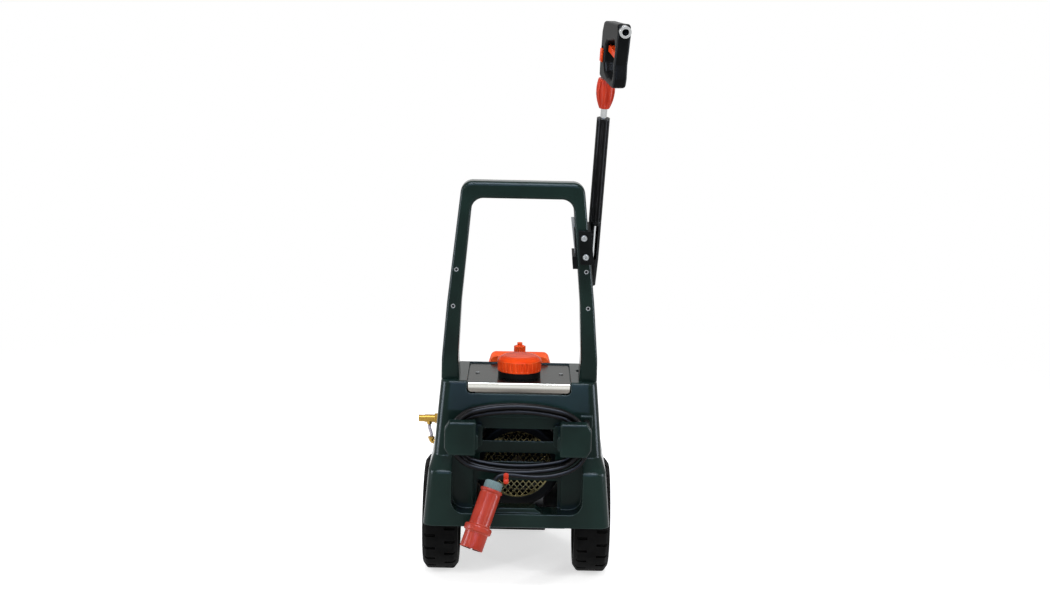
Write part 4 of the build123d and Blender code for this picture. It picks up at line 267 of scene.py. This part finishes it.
def close_keyway(mesh, rows):
    """The keyway's end and its two sides, where faces of the sleeve were left out."""
    cut = (*KEYWAY_ROWS, KEYWAY_ROWS[-1] + 1)
    outer = rows[cut[0]]
    inner = rows[cut[-1]]
    for step in KEYWAY_STEPS:
        mesh.faces.new((outer[step], outer[step + 1], inner[step + 1], inner[step]))
    for step in (KEYWAY_STEPS[0], KEYWAY_STEPS[-1] + 1):
        mesh.faces.new([rows[row][step] for row in cut])


def make_plug_housing():
    """The plug's rings of points, joined face by face but for the keyway."""
    start = place(*TAIL_POINTS[-2])
    along = (start - place(*TAIL_POINTS[-3])).normalized()
    side = (Vector((1, 0, 0)) - along * along.x).normalized()
    across = (side, along.cross(side))
    mesh = bmesh.new()
    rows = []
    for reach, radius in PLUG_OUTLINE:
        rows.append(ring_of_points(mesh, start + along * reach * MM, across, radius))
    for row, (near, far) in enumerate(zip(rows, rows[1:])):
        for step in range(PLUG_STEPS):
            if row in KEYWAY_ROWS and step in KEYWAY_STEPS:
                continue
            following = (step + 1) % PLUG_STEPS
            corners = (near[step], near[following], far[following], far[step])
            face = mesh.faces.new(tuple(dict.fromkeys(corners)))
            # Inside the sleeve the faces take the black: painted shade down the sleeve, the pin carrier at
            # its end.
            face.material_index = int(row >= INSIDE_SHADE_ROW)
    close_keyway(mesh, rows)
    plug = as_object(mesh, "plug_moulding")
    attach(plug, "machine")
    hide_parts("plug_housing")
    return plug


plug_moulding = make_plug_housing()
print("plug with", len(plug_moulding.data.polygons), "faces")

# %% [markdown]
# Clip
#
# An orange clip holds the tail: a hook round the cord, with an eye below it. Each is a crowned section swept
# round an arc. The eye's arc closes on itself. The hook's stays open, and narrows to a rounded tongue at
# both ends, as a moulded one does so that it snaps on easily.

# %% Clip on the tail
# The run of the tail that the clip sits on, and how far along it.
CLIP_RUN = 7
CLIP_SHARE = 0.57
CLIP_HALF_WIDTH = 5.5
CLIP_STEPS = 32
WHOLE_TURN = 360
# How far across, as a share of the half width, and how far out, as a share of the wall.
CLIP_SECTION = (
    (-1, 0.2), (-0.97, 0.42), (-0.84, 0.72), (-0.5, 0.94), (0, 1), (0.5, 0.94), (0.84, 0.72), (0.97, 0.42),
    (1, 0.2), (0.9, 0), (-0.9, 0),
)
# Where its middle is, forwards and up from the cord, its radius inside and outside, and its arc in degrees.
CLIP_HOOK = ((0, 0), 6.5, 8.5, (135, 326))
CLIP_EYE = ((-4.25, -13), 3.5, 6.5, (0, WHOLE_TURN))
# Length as a share of the arc, and width at the tip as a share of the full width.
TONGUE_LENGTH = 0.16
TONGUE_WIDTH = 0.4


def tongue(share):
    """Width along an open arc: full in the middle, and rounded off towards both ends."""
    past_end = min(share, 1 - share, TONGUE_LENGTH) / TONGUE_LENGTH
    return TONGUE_WIDTH + (1 - TONGUE_WIDTH) * math.sqrt(1 - (1 - past_end) ** 2)


def sweep_clip(mesh, axes, middle, inside, outside, arc):
    """The clip's section swept round an arc, closed into an eye or open as a hook."""
    along, level, upright = axes
    closed = arc[1] - arc[0] == WHOLE_TURN
    rows = []
    for step in range(CLIP_STEPS if closed else CLIP_STEPS + 1):
        share = step / CLIP_STEPS
        turn = math.radians(arc[0] + (arc[1] - arc[0]) * share)
        width = CLIP_HALF_WIDTH * (1 if closed else tongue(share))
        row = []
        for across, out in CLIP_SECTION:
            radius = inside + (outside - inside) * out
            spot = level * (middle[0] + radius * math.cos(turn))
            spot += upright * (middle[1] + radius * math.sin(turn))
            row.append(mesh.verts.new((spot + along * across * width) * MM))
        rows.append(row)
    if not closed:
        mesh.faces.new(rows[0])
        mesh.faces.new(rows[-1])
    for near, far in zip(rows, rows[1:] + rows[:1] if closed else rows[1:]):
        for corner in range(len(CLIP_SECTION)):
            mesh.faces.new((near[corner - 1], near[corner], far[corner], far[corner - 1]))


def make_clip():
    """The hook and the eye, swept in line with the cord and moved to their place on the tail."""
    start = place(*TAIL_POINTS[CLIP_RUN])
    end = place(*TAIL_POINTS[CLIP_RUN + 1])
    along = (start - end).normalized()
    level = (Vector((0, 1, 0)) - along * along.y).normalized()
    axes = (along, level, along.cross(level))
    mesh = bmesh.new()
    sweep_clip(mesh, axes, *CLIP_HOOK)
    sweep_clip(mesh, axes, *CLIP_EYE)
    bmesh.ops.translate(mesh, vec=start.lerp(end, CLIP_SHARE), verts=mesh.verts)
    clip = as_object(mesh, "clip_moulding")
    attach(clip, "machine")
    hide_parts("cord_clip")
    return clip


clip_moulding = make_clip()
print("clip with", len(clip_moulding.data.polygons), "faces")

# %% [markdown]
# Spline
#
# The lead follows the coil and the tail as one NURBS spline, which passes near its points and smooths them.
# The spline's order and end rule are set after its points are added, because a spline with too few points
# drops to a lower order.

# %% Mains lead: the spline
CORD_ORDER = 3
CORD_SMOOTHNESS = 5
CORD_ROUNDNESS = 4


def make_mains_lead():
    """The whole lead as one curve, from the gland in the wall to the gland of the plug."""
    curve = bpy.data.curves.new("mains_lead", "CURVE")
    curve.dimensions = "3D"
    # A curve's box takes in each point's radius as it stands, so the radius is the real one and the depth
    # that multiplies it is one.
    curve.bevel_depth = 1
    curve.bevel_resolution = CORD_ROUNDNESS
    curve.resolution_u = CORD_SMOOTHNESS
    curve.use_fill_caps = True
    spline = curve.splines.new("NURBS")
    route = coil + [place(*point) for point in TAIL_POINTS]
    spline.points.add(len(route) - 1)
    for point, spot in zip(spline.points, route):
        point.co = (*spot, 1)
        point.radius = CORD_DIAMETER / 2 * MM
    spline.order_u = CORD_ORDER
    spline.use_endpoint_u = True
    lead = bpy.data.objects.new("mains_lead", curve)
    bpy.context.scene.collection.objects.link(lead)
    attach(lead, "machine")
    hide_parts("cord_coil", "cord_tail")
    return lead


mains_lead = make_mains_lead()
print("mains lead with", len(mains_lead.data.splines[0].points), "points")

# %% [markdown]
# Helpers for every finish
#
# Colours are given as sRGB hex codes, but shader sockets want linear light, so one function
# converts them. Another adds a node: its settings, then what goes into each socket, which is either a
# plain value or the output of an earlier node. Three short ones make what most finishes need: an empty
# material, a value stretched to another span, and a mix of two colours.


# %% Colour and node helpers
def linear(code):
    """An sRGB hex code as the linear colour that a socket takes."""
    shares = [int(code[start:start + 2], 16) / 255 for start in (1, 3, 5)]
    lights = [part / 12.92 if part <= 0.04045 else ((part + 0.055) / 1.055) ** 2.4 for part in shares]
    return (*lights, 1)


def add(tree, kind, sockets=None, **settings):
    """A new node with its settings, and a value or a link for each named socket."""
    node = tree.nodes.new(kind)
    for name, value in settings.items():
        setattr(node, name, value)
    for name, value in (sockets or {}).items():
        if isinstance(value, bpy.types.NodeSocket):
            tree.links.new(value, node.inputs[name])
        else:
            node.inputs[name].default_value = value
    return node


def new_material(name):
    """A material without nodes."""
    material = bpy.data.materials.new(name)
    material.use_nodes = True
    material.node_tree.nodes.clear()
    return material


def remap(tree, value, span, to=(0, 1), **settings):
    """A value stretched from one span to another, and held at its ends."""
    sockets = {"Value": value, "From Min": span[0], "From Max": span[1], "To Min": to[0], "To Max": to[1]}
    return add(tree, "ShaderNodeMapRange", sockets, **settings).outputs[0]


def blend(tree, share, first, second):
    """The first colour where the share is nought, and the second where it is one."""
    node = add(tree, "ShaderNodeMix", {"Factor": share, "A": first, "B": second}, data_type="RGBA")
    return node.outputs[2]


print("mid grey in linear light:", round(linear("#808080")[0], 3))

# %% [markdown]
# Studio
#
# The machine stands on a pale floor in front of white. The floor fades out with distance, so no edge shows.
# Near the machine it would still read grey, because a floor never sends back all its light. So whatever
# looks straight at it, such as the camera or a mirror, sees a little more light than it gives: the shadow
# stays, and no extra light falls on the machine. The world is treated the same way.

# %% Floor and world
FLOOR_RADIUS = 3.2
FLOOR_SIDES = 96
FLOOR_FADE = (0.1, 0.75)
FLOOR_COLOUR = "#F4F4F4"
FLOOR_LIFT = 0.6
WHITE = "#FFFFFF"
WORLD_LIGHT = 0.5


def seen_directly(tree):
    """One where the camera, a mirror or a clear plastic looks, nought where light only bounces."""
    path = add(tree, "ShaderNodeLightPath")
    seen = add(tree, "ShaderNodeMath", {0: path.outputs["Is Camera Ray"], 1: path.outputs["Is Glossy Ray"]},
               operation="MAXIMUM")
    seen = add(tree, "ShaderNodeMath", {0: seen.outputs[0], 1: path.outputs["Is Transmission Ray"]},
               operation="MAXIMUM")
    return seen.outputs[0]


def make_world():
    """White to look at, and a dimmer light on the machine."""
    world = bpy.data.worlds.new("studio")
    world.use_nodes = True
    tree = world.node_tree
    tree.nodes.clear()
    light = add(tree, "ShaderNodeBackground", {"Color": linear(WHITE), "Strength": WORLD_LIGHT})
    white = add(tree, "ShaderNodeBackground", {"Color": linear(WHITE), "Strength": 1})
    mix = add(tree, "ShaderNodeMixShader", {
        0: seen_directly(tree), 1: light.outputs[0], 2: white.outputs[0]})
    add(tree, "ShaderNodeOutputWorld", {"Surface": mix.outputs[0]})
    bpy.context.scene.world = world


def make_floor():
    """A round floor that fades out towards its edge."""
    mesh = bpy.data.meshes.new("floor")
    build = bmesh.new()
    bmesh.ops.create_circle(build, cap_ends=True, segments=FLOOR_SIDES, radius=FLOOR_RADIUS)
    build.to_mesh(mesh)
    build.free()
    floor = bpy.data.objects.new("floor", mesh)
    bpy.context.scene.collection.objects.link(floor)
    material = new_material("painted_studio_floor")
    tree = material.node_tree
    where = add(tree, "ShaderNodeTexCoord")
    shrink = add(tree, "ShaderNodeMapping", {
        "Vector": where.outputs["Object"], "Scale": (1 / FLOOR_RADIUS,) * 3})
    fall = add(tree, "ShaderNodeTexGradient", {"Vector": shrink.outputs[0]}, gradient_type="SPHERICAL")
    fade = remap(tree, fall.outputs["Fac"], FLOOR_FADE, interpolation_type="SMOOTHSTEP")
    paint = add(tree, "ShaderNodeBsdfDiffuse", {"Color": linear(FLOOR_COLOUR)})
    lift = add(tree, "ShaderNodeMath", {0: seen_directly(tree), 1: FLOOR_LIFT}, operation="MULTIPLY")
    glow = add(tree, "ShaderNodeEmission", {"Color": linear(WHITE), "Strength": lift.outputs[0]})
    lifted = add(tree, "ShaderNodeAddShader", {0: paint.outputs[0], 1: glow.outputs[0]})
    clear = add(tree, "ShaderNodeBsdfTransparent")
    mix = add(tree, "ShaderNodeMixShader", {0: fade, 1: clear.outputs[0], 2: lifted.outputs[0]})
    add(tree, "ShaderNodeOutputMaterial", {"Surface": mix.outputs[0]})
    mesh.materials.append(material)


make_world()
make_floor()
bpy.context.scene.view_settings.view_transform = "Standard"
print("white studio with a floor", 2 * FLOOR_RADIUS, "m across")

# %% [markdown]
# Lamps and cards
#
# Three soft boxes light the machine: one overhead, and one to each side, between the machine and
# the photographer. A dark moulding hardly shows that light. What draws its form is what it mirrors, so a
# studio also hangs white cards just outside the picture: the round edges of the body pick them up as bright
# lines, and the sloping rear wall takes its cool sheen from a blue one behind the camera. The cards here are
# lamps that only mirrors see, so they add gloss and no light. They are linked to the plastics, the grip and
# the lead alone: bare metal mirrors far more, and would turn white.

# %% Soft boxes and cards
# Name, place and target in millimetres, size in metres, watts, tint, and whether it lights the machine.
SOFT_BOXES = (
    ("overhead_box", (0, -700, 2700), (0, 0, 400), (1.3, 0.5), 38, "#EEF4FF", True),
    ("left_box", (-2300, -2500, 1900), (0, 0, 500), (0.3, 1.6), 40, WHITE, True),
    ("right_box", (2500, -2100, 1800), (0, 0, 500), (0.3, 1.6), 32, WHITE, True),
    ("overhead_card", (0, -1500, 2300), (0, -120, 450), (2.0, 0.9), 230, "#D8E6FF", False),
    ("left_card", (-1900, -350, 560), (0, -120, 450), (0.6, 1.1), 60, "#E4EEFF", False),
    ("right_card", (1900, -350, 560), (0, -120, 450), (0.6, 1.1), 60, "#E4EEFF", False),
    ("blue_card", (0, -4300, 1250), (0, 0, 600), (2.6, 1.0), 135, "#A8C4FF", False),
)
CARD_FINISHES = (
    "green_body_plastic", "orange_plastic", "red_plug_plastic", "black_plastic", "grip_rubber")

plastics = bpy.data.collections.new("pieces_that_mirror_the_cards")
plastics.objects.link(mains_lead)
plastics.objects.link(plug_moulding)
plastics.objects.link(clip_moulding)
for entry in frame["record"]["subparts"]:
    if entry["material_slot"] in CARD_FINISHES:
        plastics.objects.link(NODES[entry["node"]])

for name, spot, target, size, watts, tint, is_lamp in SOFT_BOXES:
    data = bpy.data.lights.new(name, "AREA")
    data.shape = "RECTANGLE"
    data.size, data.size_y = size
    data.energy = watts
    data.color = linear(tint)[:3]
    lamp = bpy.data.objects.new(name, data)
    bpy.context.scene.collection.objects.link(lamp)
    lamp.location = place(*spot)
    lamp.rotation_mode = "QUATERNION"
    lamp.rotation_quaternion = (place(*target) - place(*spot)).to_track_quat("-Z", "Y")
    lamp.visible_camera = False
    lamp.visible_diffuse = is_lamp
    if not is_lamp:
        lamp.light_linking.receiver_collection = plastics
    print(name, watts, "W")

# %% [markdown]
# What every moulding shares
#
# Most of the machine is moulded. A mould's face is etched or blasted, so a moulding has a fine grain, and
# its colour drifts a little where the plastic cooled at another rate. No moulding has a sharp edge either:
# hands and floors polish the edges, and they catch the light. Rounding each edge of sixty pieces by hand
# would be slow, so the Bevel node rounds the shading there, and where it turns away from the true surface
# the colour is painted paler: a little rubbing, and mostly a painted highlight. One function takes all this
# in millimetres and plain numbers.

# %% Moulded finish
GRAIN_DETAIL = 4
GRAIN_STRENGTH = 0.5
# Noise hardly reaches nought or one, so the middle of its range is what gets stretched.
GRAIN_SPAN = (0.3, 0.7)
DRIFT_DETAIL = 2
DRIFT_SPAN = (0.35, 0.65)
POLISH_CHANGE = 0.05
EDGE_SAMPLES = 6
EDGE_TURN = 0.97


def rounded_edges(tree, radius):
    """The surface's direction with its edges rounded, and how far each spot is an edge."""
    soft = add(tree, "ShaderNodeBevel", {"Radius": radius * MM}, samples=EDGE_SAMPLES)
    true = add(tree, "ShaderNodeNewGeometry")
    turn = add(tree, "ShaderNodeVectorMath", {0: soft.outputs[0], 1: true.outputs["Normal"]},
               operation="DOT_PRODUCT")
    return soft.outputs[0], remap(tree, turn.outputs["Value"], (1, EDGE_TURN))


def moulded(name, colours, grain, drift, roughness, gloss, edge=1.2):
    """A moulding: dark and light colours, a paler edge colour that is some rubbing and mostly a painted
    highlight, grain (width, depth), drift and edge in millimetres.
    """
    dark, light, rubbed_and_highlight = colours
    width, depth = grain
    material = new_material(name)
    tree = material.node_tree
    where = add(tree, "ShaderNodeTexCoord").outputs["Object"]
    normal, at_edge = rounded_edges(tree, edge)
    cloud = add(tree, "ShaderNodeTexNoise", {
        "Vector": where, "Scale": 1 / (drift * MM), "Detail": DRIFT_DETAIL})
    fine = add(tree, "ShaderNodeTexNoise", {
        "Vector": where, "Scale": 1 / (width * MM), "Detail": GRAIN_DETAIL})
    tone = remap(tree, cloud.outputs["Fac"], DRIFT_SPAN)
    body = blend(tree, tone, linear(dark), linear(light))
    # Edges turn paler: some rubbing, and mostly a painted highlight where the rounded shading turns.
    wear_and_highlight = add(tree, "ShaderNodeMath", {0: at_edge, 1: cloud.outputs["Fac"]}, operation="MULTIPLY")
    colour = blend(tree, wear_and_highlight.outputs[0], body, linear(rubbed_and_highlight))
    polish = remap(
        tree, fine.outputs["Fac"], GRAIN_SPAN, (roughness - POLISH_CHANGE, roughness + POLISH_CHANGE))
    bump = add(tree, "ShaderNodeBump", {
        "Height": fine.outputs["Fac"], "Strength": GRAIN_STRENGTH, "Distance": depth * MM, "Normal": normal})
    surface = add(tree, "ShaderNodeBsdfPrincipled", {
        "Base Color": colour, "Roughness": polish, "Normal": bump.outputs[0], "Specular IOR Level": gloss})
    add(tree, "ShaderNodeOutputMaterial", {"Surface": surface.outputs[0]})
    return material


FINISHES = {}
print("moulded finish ready")

# %% [markdown]
# Body: rotomoulded polyethylene
#
# The body, cover, handle and hooks are polyethylene powder melted in a spinning mould. That gives soft
# corners, a faint orange peel and a waxy half gloss, in a green so dark that it only shows in the light.

# %% Body green
FINISHES["green_body_plastic"] = moulded(
    "rotomoulded_polyethylene_green", ("#0E1B18", "#152622", "#2E3D3A"),
    (2.2, 0.05), 120, 0.2, 0.065, edge=4)
print("body green")

# %% [markdown]
# Black polyamide and the switch
#
# Rims, fan, cowl, holder and gun are injection moulded, so they are crisper than the body. Glass fibres in
# the plastic dull them: black with a dry, finely pitted face. The switch has no fibres and shines more.

# %% Black plastics
FINISHES["black_plastic"] = moulded(
    "polyamide_black", ("#0C0D0D", "#121313", "#2E2F2F"), (0.9, 0.05), 40, 0.36, 0.03)
FINISHES["switch_plastic"] = moulded(
    "polycarbonate_black", ("#0C0D0D", "#121313", "#2A2B2B"), (0.9, 0.02), 30, 0.22, 0.05, edge=0.6)
print("black plastics")

# %% [markdown]
# Rubbers
#
# Carbon black colours all four rubbers. The tyres and the foot are moulded in a blasted mould and dusty, so
# they hardly shine. The cable's jacket is extruded: smooth along its length, with a thin line of light.
# The grip is softer and holds a little more light than the tyres.

# %% Rubbers
FINISHES["tyre_rubber"] = moulded(
    "tyre_rubber", ("#0B0B0B", "#131313", "#262625"), (1.1, 0.15), 30, 0.6, 0.02)
FINISHES["rubber_foot"] = moulded(
    "rubber_moulded", ("#101010", "#181818", "#2A2A2A"), (1.1, 0.1), 30, 0.6, 0.02)
FINISHES["cord_rubber"] = moulded(
    "cable_rubber", ("#0D0C0C", "#141313", "#201F1F"), (1.4, 0.04), 18, 0.24, 0.07, edge=0.3)
FINISHES["grip_rubber"] = moulded(
    "grip_rubber", ("#0C0C0C", "#131313", "#2C2C2C"), (0.8, 0.05), 25, 0.3, 0.06, edge=0.8)
print("four rubbers")

# %% [markdown]
# Orange and red
#
# Whatever a hand works is orange ABS from a polished mould, which shines like lacquer. The hood and its
# knob come from an etched mould, so they are dull, and their orange is painted paler to lift the shade on
# their rear faces. The lance's nut and the clip on the lead are a deeper orange polyamide, the plug is a red
# one, and the plug's cable gland is grey.

# %% Coloured plastics
FINISHES["orange_plastic"] = moulded(
    "abs_orange", ("#D83C12", "#E54818", "#F27A4C"), (0.9, 0.02), 45, 0.18, 0.016, edge=1.5)
ETCHED_ORANGE_PAINTED_PALER = moulded(
    "abs_orange_etched_painted_paler", ("#FA5722", "#FF622E", "#FF8A5C"), (0.6, 0.04), 45, 0.4, 0.006, edge=1.5)
DEEP_ORANGE = moulded(
    "polyamide_orange", ("#B83420", "#C43E28", "#E0674E"), (0.9, 0.04), 45, 0.24, 0.04, edge=1.5)
FINISHES["red_plug_plastic"] = moulded(
    "polyamide_red", ("#9C3123", "#A73B2C", "#CC7060"), (0.9, 0.04), 45, 0.22, 0.07, edge=2.5)
FINISHES["grey_plastic"] = moulded(
    "polyamide_grey", ("#64797B", "#6C8284", "#9CAAAC"), (0.9, 0.04), 30, 0.34, 0.08, edge=0.8)
print("orange, red and grey plastics")

# %% [markdown]
# Tank, hose, varnish and paint
#
# The tank is uncoloured polyethylene: milky, with light in its wall. The hose is clear PVC, so most light
# goes through it. The stator's iron sits under brown varnish, and the base tray under grey paint, which
# keeps the orange peel that drying paint pulls itself into.

# %% Tank, hose, varnish and paint
FINISHES["white_tank_plastic"] = moulded(
    "polyethylene_natural", ("#D8D8D0", "#E4E4DE", "#F0F0EC"), (1.4, 0.05), 60, 0.42, 0.12)
FINISHES["stator_iron"] = moulded(
    "iron_varnished", ("#2C2622", "#3A322C", "#5A5048"), (1.2, 0.05), 20, 0.4, 0.15, edge=0.5)
FINISHES["painted_steel_tray"] = moulded(
    "steel_painted_grey", ("#6E7273", "#7C8081", "#A0A4A5"), (1.6, 0.04), 50, 0.34, 0.15, edge=0.6)
HOSE_CLARITY = 0.75
HOSE_IOR = 1.53
hose = moulded("pvc_clear", ("#C9C4CC", "#D9D5DC", "#F0EEF2"), (1.2, 0.02), 20, 0.18, 0.4, edge=0.5)
hose_surface = next(node for node in hose.node_tree.nodes if node.type == "BSDF_PRINCIPLED")
hose_surface.inputs["Transmission Weight"].default_value = HOSE_CLARITY
hose_surface.inputs["IOR"].default_value = HOSE_IOR
FINISHES["clear_hose"] = hose
print(len(FINISHES), "finishes that are not metal")

# %% [markdown]
# Metals
#
# A metal has no colour under its reflection, so the reflection itself is tinted, and the tool marks are
# what tells one metal from another: long brush lines, the faint lines of a drawn tube, the spangle of
# plating, the pits of a casting. Noise makes them, pulled out into streaks along the way the tool went.

# %% Metal finish
STREAK_DETAIL = 3
STREAK_STRENGTH = 0.4
STREAK_SPAN = (0.3, 0.7)
BRIGHTER = 0.05
DULLER = 0.08
# How squarely the lip faces the rear, and where its painted reflection meets its painted shade, in
# millimetres below and above a height.
LIP_FACING = (0.2, 0.7)
LIP_MEETING = (2, 3)


def painted_lip_light(tree, where, colour, normal, lip):
    """The colour of a sheet whose rear lip has a painted reflection above and a painted shade below a height
    in metres.
    """
    bright, shade, height = lip
    rear = add(tree, "ShaderNodeVectorMath", {0: normal, 1: (0, -1, 0)}, operation="DOT_PRODUCT")
    share = remap(tree, rear.outputs["Value"], LIP_FACING)
    rise = add(tree, "ShaderNodeSeparateXYZ", {"Vector": where})
    below, over = LIP_MEETING
    above = remap(tree, rise.outputs["Z"], (height - below * MM, height + over * MM))
    face = blend(tree, above, linear(shade), linear(bright))
    return blend(tree, share, colour, face)


def metal(name, colours, grain, stretch, roughness, edge=0.6, rim=WHITE, lip=None):
    """A metal: dark and light colours, grain (width, depth) in millimetres pulled out along X, Y and Z,
    and rim, how bright it stays at a glancing angle. A lip paints a reflection and a shade on a sheet's rear
    edge."""
    dark, light = colours
    width, depth = grain
    material = new_material(name)
    tree = material.node_tree
    where = add(tree, "ShaderNodeTexCoord").outputs["Object"]
    normal, at_edge = rounded_edges(tree, edge)
    drawn = add(tree, "ShaderNodeMapping", {
        "Vector": where, "Scale": [1 / (width * MM * pull) for pull in stretch]})
    streak = add(tree, "ShaderNodeTexNoise", {
        "Vector": drawn.outputs[0], "Scale": 1, "Detail": STREAK_DETAIL})
    body = blend(tree, streak.outputs["Fac"], linear(dark), linear(light))
    # Edges take the light colour: a painted highlight on the rounded edge.
    colour = blend(tree, at_edge, body, linear(light))
    if lip:
        colour = painted_lip_light(tree, where, colour, normal, lip)
    polish = remap(tree, streak.outputs["Fac"], STREAK_SPAN, (roughness - BRIGHTER, roughness + DULLER))
    bump = add(tree, "ShaderNodeBump", {
        "Height": streak.outputs["Fac"], "Strength": STREAK_STRENGTH, "Distance": depth * MM,
        "Normal": normal})
    surface = add(tree, "ShaderNodeBsdfPrincipled", {
        "Base Color": colour, "Metallic": 1, "Roughness": polish, "Specular Tint": linear(rim),
        "Normal": bump.outputs[0]})
    add(tree, "ShaderNodeOutputMaterial", {"Surface": surface.outputs[0]})
    return material


ROUND = (1, 1, 1)
ALONG_X = (60, 1, 1)
ALONG_Z = (1, 1, 20)
LIP_SHADE = 9
plate_bottom = min(vertex.co.z for vertex in NODES["top_plate"].data.vertices)

# Brushed across the machine: long fine lines that smear the reflections sideways. The rear lip has a
# painted reflection above and a painted shade below.
FINISHES["stainless_plate"] = metal(
    "stainless_brushed", ("#5A5B59", "#686967"), (0.5, 0.004), ALONG_X, 0.2, rim="#C8C8C8",
    lip=("#D2D1CA", "#7E7A74", plate_bottom + LIP_SHADE * MM))
# Drawn through a die: smooth, with faint lines along the tube.
FINISHES["bright_steel"] = metal("steel_drawn", ("#A4A6A7", "#C2C4C5"), (0.6, 0.01), ALONG_Z, 0.2)
# Plated in a barrel: a soft spangle, a little blue.
FINISHES["steel_fasteners"] = metal("steel_zinc_plated", ("#7C7F82", "#A4A7AA"), (1.2, 0.02), ROUND, 0.36)
# Ground: finer and brighter than plating.
FINISHES["bearing_steel"] = metal("steel_ground", ("#9A9C9D", "#B0B2B3"), (0.6, 0.01), ROUND, 0.22)
# Yellow passivated zinc: straw coloured, cloudy where the bath was thin, and darkened all over to paint
# the shade inside the body.
FINISHES["guard_steel"] = metal("steel_yellow_zinc_darkened", ("#4C4630", "#7E7550"), (3, 0.02), ROUND, 0.22)
# Turned from bar: warm, and satin rather than bright.
FINISHES["brass"] = metal("brass_turned", ("#8E6C2C", "#BF9B4E"), (1.2, 0.02), ROUND, 0.34)
# Sand cast: pitted all over, and dull.
FINISHES["cast_aluminium"] = metal("aluminium_cast", ("#5E6063", "#86888A"), (1.4, 0.12), ROUND, 0.5)
print(len(FINISHES), "finishes")

# %% [markdown]
# Dressing
#
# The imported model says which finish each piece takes, so one loop dresses them all. A few pieces then get
# a finish of their own: the other oranges, zinc on the holder's bracket, and varnish on the rotor. The
# pieces made here are dressed last.

# %% Dress every piece
SPECIAL_FINISHES = {
    # The hood and the knob: an orange painted paler, to lift the shade on their faces.
    "control_hood": ETCHED_ORANGE_PAINTED_PALER,
    "pressure_knob": ETCHED_ORANGE_PAINTED_PALER,
    "coupling_nut": DEEP_ORANGE,
    "holder_bracket": FINISHES["steel_fasteners"],
    "motor_rotor": FINISHES["stator_iron"],
}

for entry in frame["record"]["subparts"]:
    dress = NODES[entry["node"]].data.materials
    dress.clear()
    dress.append(FINISHES[entry["material_slot"]])
for name, finish in SPECIAL_FINISHES.items():
    NODES[name].data.materials[0] = finish
mains_lead.data.materials.append(FINISHES["cord_rubber"])
# Red outside, and black within: painted shade down the sleeve, and the carrier of the pins at its end.
plug_moulding.data.materials.append(FINISHES["red_plug_plastic"])
plug_moulding.data.materials.append(FINISHES["black_plastic"])
clip_moulding.data.materials.append(DEEP_ORANGE)
print("dressed", len(NODES), "pieces")
